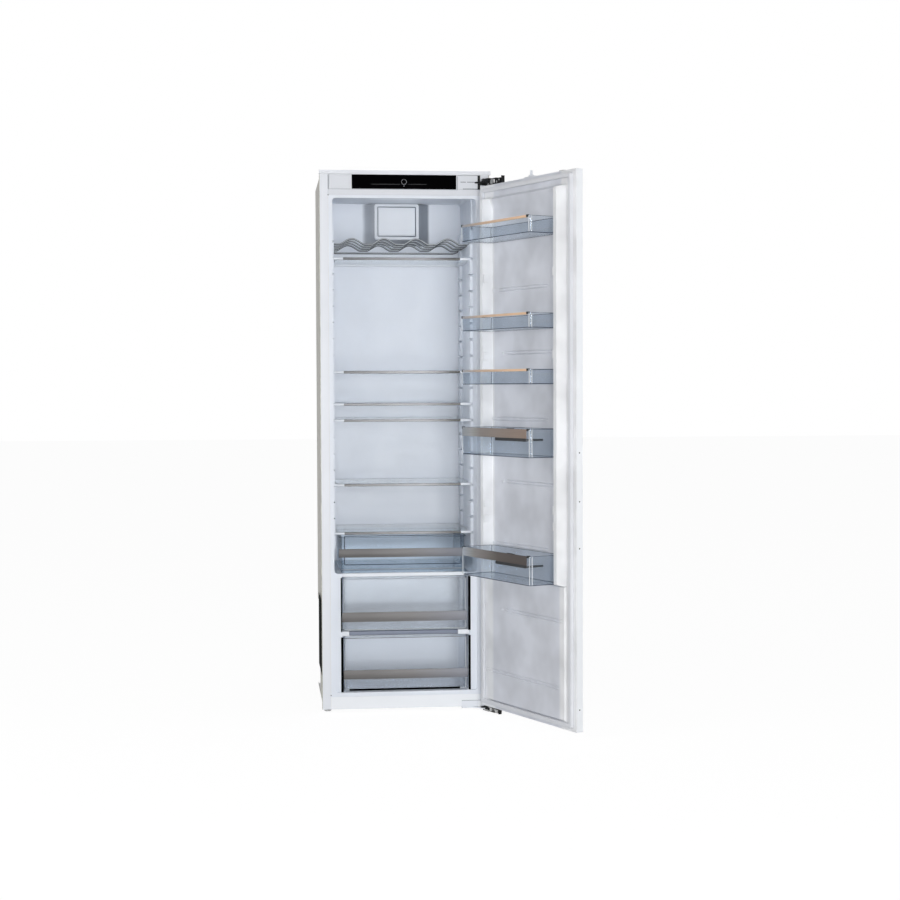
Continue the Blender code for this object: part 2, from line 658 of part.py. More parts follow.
def make_fascia():
    """Front bar above the opening, with the touch panel and the hinge cover let into it."""
    back = FRONT + FASCIA_DEPTH
    bar = box("control_fascia", (-RIM_EDGE, FRONT, FASCIA_LOW), (RIM_EDGE, back, SHELL_TOP),
              WHITE_PLASTIC)
    pocket = box("glass_pocket", (GLASS_LEFT - GAP, FRONT - OVERRUN, GLASS_LOW - GAP),
                 (GLASS_RIGHT + GAP, FRONT + GLASS_DEPTH + GAP, GLASS_HIGH + GAP))
    seam = box("cap_seam", (-RIM_EDGE - OVERRUN, FRONT - OVERRUN, GLASS_LOW),
               (-RIM_EDGE + CAP_SEAM, FRONT + GLASS_DEPTH, BODY_HEIGHT))
    hinge_pocket = box("hinge_pocket", (COVER_LEFT - GAP, FRONT - OVERRUN, GLASS_LOW - GAP),
                       (RIM_EDGE + OVERRUN, back + OVERRUN, BODY_HEIGHT))
    cut(bar, pocket, seam, hinge_pocket)
    box("control_glass", (GLASS_LEFT, FRONT, GLASS_LOW), (GLASS_RIGHT, FRONT + GLASS_DEPTH, GLASS_HIGH),
        BLACK_GLASS)
    cover = box("hinge_cover", (COVER_LEFT, FRONT, GLASS_LOW),
                (COVER_RIGHT, FRONT + COVER_THICKNESS, GLASS_HIGH), WHITE_PLASTIC)
    slot = box("hinge_slot", (RIM_EDGE - CUP_NECK - 2 * GAP, FRONT - OVERRUN, CUP_LOW - GAP),
               (COVER_RIGHT + OVERRUN, FRONT + OVERRUN, CUP_LOW + CUP_PLATE + GAP))
    cut(cover, slot)


def make_fan():
    """Cover, motor and impeller on the back wall, below the ceiling."""
    back = INTERIOR_BACK - GAP
    front = back - COVER_DEPTH
    low_z = FAN_Z - COVER_HEIGHT / 2
    high_z = FAN_Z + COVER_HEIGHT / 2
    left = FAN_X - COVER_WIDTH / 2
    right = FAN_X + COVER_WIDTH / 2
    cover = box("fan_cover", (left, front, low_z), (right, back, high_z), WHITE_PLASTIC,
                radius=COVER_RADIUS, along=1)
    width_share, height_share = PANEL_SHARES
    across = COVER_WIDTH * width_share
    up = COVER_HEIGHT * height_share
    raised = box("cover_panel", (FAN_X - across, front - PANEL_PROUD, FAN_Z - up),
                 (FAN_X + across, front + LINER_WALL, FAN_Z + up), radius=PANEL_PROUD, along=1)
    add(cover, raised)
    room = box("cover_room", (left + LINER_WALL, front + LINER_WALL, low_z + LINER_WALL),
               (right - LINER_WALL, back + OVERRUN, high_z - LINER_WALL))
    cut(cover, room)
    pitch_share, slot_share = SLOT_SHARES
    near_share, far_share = SLOT_DEPTH_SHARES
    for row in range(SLOT_COUNT):
        z = FAN_Z + COVER_HEIGHT * pitch_share * (row - SLOT_COUNT // 2)
        slot = box(f"cover_slot_{row}", (left - OVERRUN, front + COVER_DEPTH * near_share, z),
                   (right + OVERRUN, front + COVER_DEPTH * far_share, z + COVER_HEIGHT * slot_share))
        cut(cover, slot)
    motor = rod("fan_motor", (FAN_X, back - MOTOR_DEPTH, FAN_Z), MOTOR_RADIUS, MOTOR_DEPTH, 1, 20,
                BLACK_PLASTIC)
    tip = front + FAN_START + BORE_FLOOR + GAP
    add(motor, rod("fan_shaft", (FAN_X, tip, FAN_Z), SHAFT_RADIUS, back - MOTOR_DEPTH / 2 - tip, 1, 12))
    make_impeller(front + FAN_START)


def make_impeller(front):
    """Hub with pitched blades, whose origin is on the shaft's axis."""
    centre = Vector((FAN_X, 0, FAN_Z))
    hub = rod("fan_rotor", (0, front, 0), HUB_RADIUS, FAN_DEPTH, 1, 20, BLACK_PLASTIC)
    hub.location = centre
    root = HUB_RADIUS * BLADE_ROOT_SHARE
    size = (FAN_RADIUS - root, FAN_DEPTH * BLADE_SPAN_SHARE, BLADE_THICKNESS)
    for number in range(FAN_BLADES):
        bm = bmesh.new()
        bmesh.ops.create_cube(bm, size=1, matrix=Matrix.Diagonal((*size, 1)))
        outwards = Matrix.Translation((root + size[0] / 2, 0, 0)) @ Matrix.Rotation(BLADE_PITCH, 4, "X")
        spin = Matrix.Rotation(2 * math.pi * number / FAN_BLADES, 4, "Y")
        bm.transform(Matrix.Translation((0, front + FAN_DEPTH / 2, 0)) @ spin @ outwards)
        blade = from_bmesh(f"blade_{number}", bm)
        blade.location = centre
        add(hub, blade)
    bore = rod("hub_bore", (0, front + BORE_FLOOR, 0), SHAFT_RADIUS + PIN_CLEARANCE, FAN_DEPTH, 1, 12)
    bore.location = centre
    cut(hub, bore)


def make_lamp():
    """Light in the ceiling, with a domed lens below."""
    front = FRONT + LAMP_START
    high = CEILING - GAP
    back = front + LAMP_DEPTH
    lamp = box("ceiling_lamp", (LAMP_LEFT, front, high - LAMP_HEIGHT), (LAMP_RIGHT, back, high), LAMP_LENS)
    edge = lamp.modifiers.new("edge", "BEVEL")
    edge.width = LAMP_CHAMFER
    edge.segments = 1


def make_feet():
    """Threaded feet under the front corners."""
    for label, side in (("left", -1), ("right", 1)):
        start = (side * FOOT_X, FRONT + FOOT_INSET, -FOOT_HEIGHT)
        foot = rod(f"foot_{label}", start, FOOT_RADIUS, FOOT_PAD, 2, 20, BLACK_PLASTIC)
        add(foot, rod(f"stud_{label}", start, STUD_RADIUS, STUD_LENGTH, 2, 12))


# Shelves, rack and drawers


def make_shelf(number, step):
    """Glass pane in a frame that slides in the notches between the pads."""
    low = level(step) - SHELF_THICKNESS / 2
    high = low + SHELF_THICKNESS
    half = HALF_SHELF
    front = FRONT + SHELF_START
    back = front + SHELF_DEPTH
    name = f"shelf_{number}"
    frame = box(f"{name}_frame", (-half, front, low), (half, back, high), WHITE_PLASTIC)
    rim = SHELF_BORDER
    over = high + OVERRUN
    window = box(f"{name}_window", (-half + rim, front + rim, low - OVERRUN),
                 (half - rim, back - rim, over))
    seat = SHELF_BORDER - GLASS_SEAT
    pane_low = high - GLASS_THICKNESS
    rebate = box(f"{name}_rebate", (-half + seat, front + seat, pane_low - GAP),
                 (half - seat, back - seat, over))
    cut(frame, window, rebate)
    seat += GAP
    box(f"{name}_glass", (-half + seat, front + seat, pane_low), (half - seat, back - seat, high),
        CLEAR_GLASS)


def wave_points(half, y, rail):
    """A wire across the rack: rounded crests between the bottles, flat troughs and raised ends."""
    trough = rail - WAVE_DROP
    start = WAVE_SHIFT - WAVE_COUNT * WAVE_PITCH / 2
    steps = len(WAVE_SHARES)
    points = [(-half, y, rail)]
    for index in range(WAVE_COUNT * steps + 1):
        rise = WAVE_HEIGHT * WAVE_SHARES[index % steps]
        points.append((start + index * WAVE_PITCH / steps, y, trough + rise))
    points.append((half, y, rail))
    return points


def make_bottle_rack():
    """Waved wires and a cross loop, welded to two rails that rest in a notch."""
    rail = level(RACK_LEVEL) - PAD_NOTCH / 2 + GAP + WIRE_RADIUS
    half = PAD_FACE + RAIL_INSET + WIRE_RADIUS
    ends = (FRONT + RACK_START, FRONT + RACK_START + RACK_LENGTH)
    across = (0, 1, 0)
    rack = wire("bottle_rack", [(-half, ends[0], rail), (-half, ends[1], rail)], (1, 0, 0), WIRE_RADIUS,
                finish=CHROME)
    for number, y in enumerate(spread(RACK_FIRST_WIRE, RACK_LAST_WIRE, RACK_WIRES)):
        add(rack, wire(f"rack_wave_{number}", wave_points(half, FRONT + y, rail), across, WIRE_RADIUS))
    add(rack, wire("rack_rail", [(half, ends[0], rail), (half, ends[1], rail)], (1, 0, 0), WIRE_RADIUS))
    y = FRONT + RACK_LAST_WIRE
    inner = half - LOOP_INSET
    low = rail - LOOP_DROP
    loop = [(-half, y, rail), (-inner, y, rail - WAVE_DROP), (-inner + LOOP_SLOPE, y, low),
            (inner - LOOP_SLOPE, y, low), (inner, y, rail - WAVE_DROP), (half, y, rail)]
    add(rack, wire("rack_loop", loop, across, WIRE_RADIUS))


def spread(first, last, count):
    """Evenly spaced values from first to last."""
    return [first + (last - first) * index / (count - 1) for index in range(count)]


def make_drawer(number, half, low, front, back):
    """Clear drawer on two runners, with its steel grip along the front."""
    name = f"drawer_{number}"
    high = DRAWER_TOPS[number - 1]
    floor = low + RUNNER_HEIGHT
    tray = box(f"{name}_tray", (-half, front, floor), (half, back, high), CLEAR_PLASTIC,
               radius=DRAWER_RADIUS, along=2)
    for side in (-1, 1):
        middle = side * (half - RUNNER_INSET)
        runner = box(f"{name}_runner_{side}", (middle - RUNNER_WIDTH / 2, front + RUNNER_INSET, low),
                     (middle + RUNNER_WIDTH / 2, back - RUNNER_INSET, floor + TRAY_WALL / 2))
        add(tray, runner)
    wall = TRAY_WALL
    room = box(f"{name}_room", (-half + wall, front + wall, floor + wall),
               (half - wall, back - wall, high + OVERRUN), radius=DRAWER_RADIUS - wall, along=2)
    cut(tray, room)
    grip_low = low + HANDLE_RISES[number - 1]
    grip_high = grip_low + HANDLE_HEIGHTS[number - 1]
    edge = half - HANDLE_MARGIN
    face = front - GAP
    outer = face - HANDLE_DEPTH
    grip = box(f"{name}_handle", (-edge, outer, grip_low), (edge, face, grip_high), BRUSHED_STEEL)
    hollow = box(f"{name}_grip_room", (-edge - OVERRUN, outer + HANDLE_WALL, grip_low - OVERRUN),
                 (edge + OVERRUN, face - HANDLE_WALL, grip_high - HANDLE_WALL))
    cut(grip, hollow)


def make_drawers():
    """Three drawers and the two plates that part them."""
    half = HALF_LOWER - GAP
    front = FRONT + PLATE_START
    top = LOWER_HEIGHT - GAP
    low = top - UPPER_PLATE_THICKNESS
    upper = box("divider_upper", (-half, front, low), (half, INTERIOR_BACK - GAP, top), WHITE_PLASTIC)
    start = -(VENT_COUNT - 1) * VENT_PITCH / 2
    for number in range(VENT_COUNT):
        x = start + number * VENT_PITCH
        y = front + VENT_START
        vent = box(f"vent_{number}", (x - VENT_LENGTH / 2, y, low - OVERRUN),
                   (x + VENT_LENGTH / 2, y + VENT_WIDTH, top + OVERRUN))
        cut(upper, vent)
    low = LOWER_PLATE_TOP - LOWER_PLATE_THICKNESS
    box("divider_lower", (-half, front, low), (half, STEP_BACK - GAP, LOWER_PLATE_TOP), WHITE_PLASTIC)
    front = FRONT + SHELF_START
    make_drawer(1, HALF_UPPER_DRAWER, LOWER_HEIGHT + GAP, front, INTERIOR_BACK - REAR_ROOM)
    front = FRONT + DRAWER_START
    back = STEP_BACK - REAR_ROOM
    make_drawer(2, HALF_LOWER_DRAWER, LOWER_PLATE_TOP + GAP, front, back)
    make_drawer(3, HALF_LOWER_DRAWER, OPENING_LOW + GAP, front, back)


# Door, in its closed place round the hinge axis


def door_box(name, span, up, z, finish=None, axis=None, **rounding):
    """A block between two distances from the hinge side, two heights over the flange and two levels."""
    low = (AXIS_FROM_EDGE - span[1], AXIS_FROM_FLANGE + up[0], z[0])
    high = (AXIS_FROM_EDGE - span[0], AXIS_FROM_FLANGE + up[1], z[1])
    return box(name, low, high, finish, axis, **rounding)


def make_door_shell(axis):
    """Steel outer tray and the insulation in it."""
    panel = door_box("door_panel", (0, DOOR_WIDTH), (-DOOR_THICKNESS, -LINER_WALL), (DOOR_LOW, DOOR_HIGH),
                     WHITE_STEEL, axis)
    room = door_box("door_panel_room", (SHEET, DOOR_WIDTH - SHEET), (-DOOR_THICKNESS + SHEET, OVERRUN),
                    (DOOR_LOW + SHEET, DOOR_HIGH - SHEET), axis=axis)
    cut(panel, room)
    inset = SHEET + GAP
    door_box("door_foam", (inset, DOOR_WIDTH - inset), (-DOOR_THICKNESS + inset, -LINER_WALL),
             (DOOR_LOW + inset, DOOR_HIGH - inset), FOAM, axis)


def make_door_liner(axis):
    """Formed lining: a flange all round, a raised U above and a low plateau below."""
    wall = LINER_WALL
    liner = door_box("door_liner", (0, DOOR_WIDTH), (-wall + GAP, 0), (DOOR_LOW, DOOR_HIGH),
                     LINER_PLASTIC, axis)
    across = (DYKE_START, DYKE_END)
    top = (DYKE_HIGH - DYKE_TOP_WIDTH, DYKE_HIGH)
    ridges = (
        ("dyke_hinge", (DYKE_START, DYKE_START + DYKE_WIDTH), DYKE_HEIGHT, (DYKE_LOW, DYKE_HIGH)),
        ("dyke_free", (DYKE_END - DYKE_WIDTH, DYKE_END), DYKE_HEIGHT, (DYKE_LOW, DYKE_HIGH)),
        ("dyke_top", across, DYKE_HEIGHT, top),
        ("plateau", across, PLATEAU_HEIGHT, (PLATEAU_LOW, DYKE_LOW + wall)),
    )
    for name, along, height, z in ridges:
        add(liner, door_box(name, along, (-wall / 2, height), z, axis=axis))
    for name, along, height, z in ridges:
        cut(liner, door_box(f"{name}_hollow", (along[0] + wall, along[1] - wall),
                            (-wall - OVERRUN, height - wall), (z[0] + wall, z[1] - wall), axis=axis))


def make_gasket(axis):
    """Magnetic seal round the door."""
    outer = (GASKET_INSET, DOOR_WIDTH - GASKET_INSET)
    inner = (outer[0] + GASKET_WIDTH, outer[1] - GASKET_WIDTH)
    ring = door_box("door_gasket", outer, (GAP, DOOR_GAP - GAP), (GASKET_LOW, GASKET_HIGH), SEAL, axis)
    hole = door_box("gasket_hole", inner, (-OVERRUN, DOOR_GAP + OVERRUN),
                    (GASKET_LOW + GASKET_WIDTH, GASKET_HIGH - GASKET_WIDTH), axis=axis)
    cut(ring, hole)


def make_bin(number, low, high, axis):
    """Clear tray between the dykes, with rounded corners."""
    name = f"bin_{number}"
    wall = TRAY_WALL
    tray = door_box(name, (BIN_START, BIN_END), (GAP, BIN_REACH), (low, high), CLEAR_PLASTIC, axis,
                    radius=BIN_RADIUS, along=2)
    room = door_box(f"{name}_room", (BIN_START + wall, BIN_END - wall), (GAP + wall, BIN_REACH - wall),
                    (low + wall, high + OVERRUN), axis=axis, radius=BIN_RADIUS - wall, along=2)
    cut(tray, room)


def make_band(number, high, axis):
    """Steel band along a large bin's front, between its rounded corners."""
    start = BIN_REACH + GAP
    door_box(f"bin_{number}_band", (BIN_START + BIN_RADIUS, BIN_END - BIN_RADIUS),
             (start, start + BAND_THICKNESS), (high - BAND_HEIGHT, high), BRUSHED_STEEL, axis)


def make_holder(number, bin_high, axis):
    """Bottle stop inside a large bin, which hangs on its front wall and slides along it."""
    high = bin_high - BAND_HEIGHT
    low = high - HOLDER_HEIGHT
    first = HOLDER_END - HOLDER_LENGTH
    middle = (first + HOLDER_END) / 2
    face = BIN_REACH - TRAY_WALL - GAP
    rest = bin_high + GAP
    name = f"bottle_holder_{number}"
    top = rest + CLIP_THICKNESS
    bar = door_box(name, (first, HOLDER_END), (face - HOLDER_THICKNESS, face), (low, high),
                   BLACK_PLASTIC, axis)
    finger = door_box(f"{name}_finger", (HOLDER_END - HOLDER_THICKNESS, HOLDER_END),
                      (face - HOLDER_REACH, face), (low, high), axis=axis)
    ends = (middle - CLIP_LENGTH / 2, middle + CLIP_LENGTH / 2)
    inner = face - CLIP_THICKNESS
    clip = door_box(f"{name}_clip", ends, (inner, face), ((low + high) / 2, top), axis=axis)
    hook = door_box(f"{name}_hook", ends, (inner, BIN_REACH), (rest, top), axis=axis)
    add(bar, finger, clip, hook)


def make_adjuster(axis):
    """Threaded post on the door's top, from which a furniture front hangs."""
    floor = DOOR_HIGH + GAP
    half = ADJUSTER_LENGTH / 2
    base = door_box("door_adjuster", (ADJUSTER_PLACE - half, ADJUSTER_PLACE + half),
                    (-DOOR_THICKNESS + LEAF_INSET, -LEAF_INSET), (floor, floor + ADJUSTER_PLATE),
                    WHITE_PLASTIC, axis)
    middle = (AXIS_FROM_EDGE - ADJUSTER_PLACE, AXIS_FROM_FLANGE - DOOR_THICKNESS / 2, floor)
    add(base, rod("adjuster_post", middle, PIN_RADIUS, ADJUSTER_HEIGHT, 2, 32, parent=axis))


# Hinges


def arc(centre, radius, start, stop, steps=6):
    """Points on a circle from one angle to another."""
    angles = spread(start, stop, steps + 1)
    return [(centre[0] + radius * math.cos(a), centre[1] + radius * math.sin(a)) for a in angles]


def pin_hole(name, centre, low, high, parent=None):
    """Cutter for the hinge pin's bore through a plate."""
    length = high - low + 2 * OVERRUN
    return rod(name, (*centre, low - OVERRUN), PIN_RADIUS + PIN_CLEARANCE, length, parent=parent)


def knuckle():
    """Outline of a cabinet plate's round end, about the hinge axis."""
    return arc((AXIS_X, AXIS_Y), KNUCKLE_RADIUS, math.radians(45), math.radians(-135))


def make_top_cup():
    """Upper hinge's housing behind the fascia, and its plate that reaches the axis."""
    low, high = cup_corners()
    right = high[0]
    inside = low[1] + SHEET
    neck = right - CUP_NECK
    outline = [(right, inside), (right, FRONT - CUP_STEP), *knuckle(), (neck, FRONT - CUP_STEP),
               (neck, inside)]
    plate = prism("hinge_plate_top", outline, 2, CUP_LOW, CUP_LOW + CUP_PLATE, ZINC_STEEL)
    add(plate, box("hinge_housing", low, high))
    cut(plate, pin_hole("top_pin_hole", (AXIS_X, AXIS_Y), CUP_LOW, CUP_LOW + CUP_PLATE))


def make_low_cup():
    """Lower hinge's plate under the base tray, with its upright let into the sill."""
    left, right = upright_ends()
    back = FRONT + LOW_CUP_DEPTH
    outline = [(left, back), (right, back), (right, FRONT - CUP_STEP), *knuckle(),
               (right - CUP_NECK, FRONT - CUP_STEP), (left, FRONT)]
    plate = prism("hinge_plate_bottom", outline, 2, -CUP_PLATE, -GAP, ZINC_STEEL)
    upright = box("hinge_upright", (left, FRONT, -CUP_PLATE),
                  (right, FRONT + LOW_UPRIGHT_PLATE, LOW_UPRIGHT_TOP))
    add(plate, upright)
    cut(plate, pin_hole("low_pin_hole", (AXIS_X, AXIS_Y), -CUP_PLATE, 0))


def make_leaf(name, plate, block, axis):
    """The hinge's door half: a plate on the door's edge and the block that carries the links."""
    up = (-DOOR_THICKNESS + LEAF_INSET, -LEAF_INSET)
    leaf = door_box(name, (GAP, LEAF_LENGTH), up, plate, BLACK_STEEL, axis)
    inset = LEAF_BLOCK_INSET
    body = door_box(f"{name}_block", (LEAF_BLOCK_START, LEAF_LENGTH - inset),
                    (up[0] + inset, up[1] - inset), block, axis=axis)
    add(leaf, body)
    cut(leaf, pin_hole(f"{name}_hole", (0, 0), *plate, axis))


def make_arm(name, arm, pin):
    """Short link with the hinge pin, whose origin is on the axis: it turns half as far as the door."""
    quarter = math.pi / 2
    outline = arc((0, 0), ARM_RADIUS, quarter, 3 * quarter)
    outline += arc((ARM_LENGTH, 0), ARM_TIP_RADIUS, -quarter, quarter)
    link = prism(name, outline, 2, *arm, ZINC_STEEL)
    shaft = rod(f"{name}_pin", (0, 0, pin[0]), PIN_RADIUS, pin[1] - pin[0])
    for piece in (link, shaft):
        piece.location = (AXIS_X, AXIS_Y, 0)
        piece.rotation_euler.z = ARM_CLOSED_ANGLE + OPEN_ANGLE / 2
    add(link, shaft)


def make_hinges(axis):
    """Cabinet plates, door leaves and the links between them."""
    make_top_cup()
    make_low_cup()
    top_plate = (DOOR_HIGH + GAP, DOOR_HIGH + GAP + LEAF_PLATE)
    low_plate = (DOOR_LOW - GAP - LEAF_PLATE, DOOR_LOW - GAP)
    make_leaf("hinge_bracket_top", top_plate, (top_plate[0] + GAP, DOOR_HIGH + TOP_BLOCK_HEIGHT), axis)
    make_leaf("hinge_bracket_bottom", low_plate, (DOOR_LOW - LOW_BLOCK_HEIGHT, low_plate[1] - GAP), axis)
    make_arm("hinge_arm_top", (top_plate[1] + ARM_GAP, CUP_LOW - ARM_GAP),
             (top_plate[0], CUP_LOW + CUP_PLATE))
    make_arm("hinge_arm_bottom", (ARM_GAP, low_plate[0] - ARM_GAP), (-CUP_PLATE, low_plate[1]))


def make_door():
    """The door, hung on its axis and swung open."""
    axis = bpy.data.objects.new("door_axis", None)
    axis.location = (AXIS_X, AXIS_Y, 0)
    axis.rotation_euler.z = OPEN_ANGLE
    bpy.context.scene.collection.objects.link(axis)
    make_door_shell(axis)
    make_door_liner(axis)
    make_gasket(axis)
    make_adjuster(axis)
    for number, (low, high) in enumerate(BIN_SPANS, start=1):
        make_bin(number, low, high, axis)
    for number, (low, high) in enumerate(BIN_SPANS[SMALL_BIN_COUNT:], start=1):
        make_band(number + SMALL_BIN_COUNT, high, axis)
        make_holder(number, high, axis)
    make_hinges(axis)


def main():
    clear_scene()
    make_side_panels()
    make_top()
    make_base_tray()
    make_liner()
    make_foam()
    make_back_panel()
    make_condenser()
    make_compressor()
    make_fascia()
    make_fan()
    make_lamp()
    make_feet()
    for number, step in enumerate(SHELF_STEPS, start=1):
        make_shelf(number, step)
    make_bottle_rack()
    make_drawers()
    make_door()


main()
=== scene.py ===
"""Looks of a tall built-in refrigerator with its door open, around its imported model.

The frame looks along -Y with +X to the right and +Z up, in metres. Pieces on the door are
written in the door's own directions: along it from its hinge side, out of its inner face,
and up. A piece that replaces a CAD node takes its place from that node's box.
"""
import math

import bmesh
import bpy
import numpy as np
from bpy.props import FloatProperty, FloatVectorProperty, PointerProperty
from mathutils import Matrix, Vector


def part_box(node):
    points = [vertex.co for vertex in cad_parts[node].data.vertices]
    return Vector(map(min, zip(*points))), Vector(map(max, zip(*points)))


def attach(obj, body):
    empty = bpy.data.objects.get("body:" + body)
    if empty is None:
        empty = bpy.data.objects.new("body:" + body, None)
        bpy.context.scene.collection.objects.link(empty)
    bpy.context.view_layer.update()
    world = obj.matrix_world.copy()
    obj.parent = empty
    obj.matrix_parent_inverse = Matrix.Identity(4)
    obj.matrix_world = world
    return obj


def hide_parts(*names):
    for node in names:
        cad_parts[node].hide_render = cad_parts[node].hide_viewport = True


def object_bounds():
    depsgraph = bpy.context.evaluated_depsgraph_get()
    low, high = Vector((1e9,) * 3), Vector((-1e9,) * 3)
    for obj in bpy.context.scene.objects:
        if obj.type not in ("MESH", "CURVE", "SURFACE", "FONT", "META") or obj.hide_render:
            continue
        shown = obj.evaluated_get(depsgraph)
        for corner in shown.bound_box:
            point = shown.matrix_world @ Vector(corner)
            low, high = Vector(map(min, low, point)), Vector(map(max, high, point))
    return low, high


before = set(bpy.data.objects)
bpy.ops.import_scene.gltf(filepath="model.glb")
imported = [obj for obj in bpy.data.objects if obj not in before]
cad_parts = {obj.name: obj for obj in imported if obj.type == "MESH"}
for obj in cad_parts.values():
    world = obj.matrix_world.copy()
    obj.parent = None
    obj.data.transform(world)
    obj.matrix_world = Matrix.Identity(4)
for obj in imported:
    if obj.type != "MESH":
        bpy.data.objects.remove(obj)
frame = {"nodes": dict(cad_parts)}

bl_info = {
    "name": "Built-in refrigerator",
    "version": (1, 0, 0),
    "blender": (4, 5, 0),
    "location": "View3D > Sidebar > Refrigerator",
    "description": "Dresses the packed refrigerator model and sets its stage",
    "category": "Object",
}

CAD_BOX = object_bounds()
MM = 0.001

# The door, open as it stands in the photograph
DOOR_TURN = math.radians(113.84)
HINGE_AXIS = np.array((0.2640, -0.2794))
EDGE_FROM_AXIS = 0.0125         # along the door
FLANGE_FROM_AXIS = 0.0134       # out of its inner face
DOOR_WIDTH = 0.553
ALONG = np.array((-math.cos(DOOR_TURN), -math.sin(DOOR_TURN)))
INWARD = np.array((-math.sin(DOOR_TURN), math.cos(DOOR_TURN)))
DOOR_CORNER = HINGE_AXIS - EDGE_FROM_AXIS * ALONG + FLANGE_FROM_AXIS * INWARD

# Heights of the fascia's seams
FASCIA_FOOT, FASCIA_HEAD = 1.7010, 1.7460
# Slots in the lid over the upper hinge: ends, height, and breadth in mm
LID_SLOTS = (((0.1840, 0.2020), 1.7252, 1.8), ((0.2060, 0.2400), 1.7252, 1.8),
             ((0.1920, 0.2400), 1.7028, 2.0))
# Where a side sheet's white coat ends: from the middle of the frame to the cut edge
COAT_END = (0.2758, 0.2764)
# Ends of the metal strip along a shelf, and of the strip under the lower plate
SHELF_STRIP, PLATE_STRIP = 0.1955, (-0.187, 0.173)
# How far each drawer's handle reaches past its solid at the left and the right, in mm
HANDLE_REACH = {1: (4.5, 0), 2: (6, 0), 3: (1.5, 2.0)}
# Ends of the raised part of the door's liner, along the door, and the inner flank of each ridge
RAISED, FLANKS = (0.0485, 0.5030), (0.0745, 0.4770)
# Embossed bars of the liner: height, the first and last place along the door, place of the dot
EMBOSSED = ((1.3670, 0.118, 0.404, 0.082), (1.1640, 0.160, 0.424, 0.142), (0.9540, 0.085, 0.400, 0.082),
            (0.7525, 0.160, 0.470, 0.142), (0.5520, 0.095, 0.400, 0.082), (0.3400, 0.160, 0.492, 0.142),
            (0.1340, 0.035, 0.470, None))

# The fitted camera: lens in mm, place, and heading, tilt and roll in degrees
CAMERA_LENS, CAMERA_PLACE = 69.21, (-0.4788, -5.9061, 1.0558)
CAMERA_ANGLES = (-6.3113, 90 - 2.0817, -0.2083)
# Lamps: name, place, aim, size and power
LAMPS = (("key_lamp", (0.35, -6.6, 0.70), (0.1, 0.0, 0.80), (2.3, 2.0), 211.0),
         ("side_lamp", (-4.0, -2.5, 2.4), (0.0, 0.0, 0.9), (2.0, 2.0), 30.0),
         ("edge_lamp", (4.6, -2.4, 1.0), (0.5, -0.7, 0.8), (1.2, 2.0), 20.0),
         ("inner_lamp", (-0.100, -0.258, 1.08), (0.235, -0.05, 1.08), (0.05, 1.0), 0.42))
FLOOR_REACH = 30.0

# Directions along which a finish fades
ACROSS, UP, DOOR_WAY = (1, 0, 0), (0, 0, 1), (*ALONG, 0)

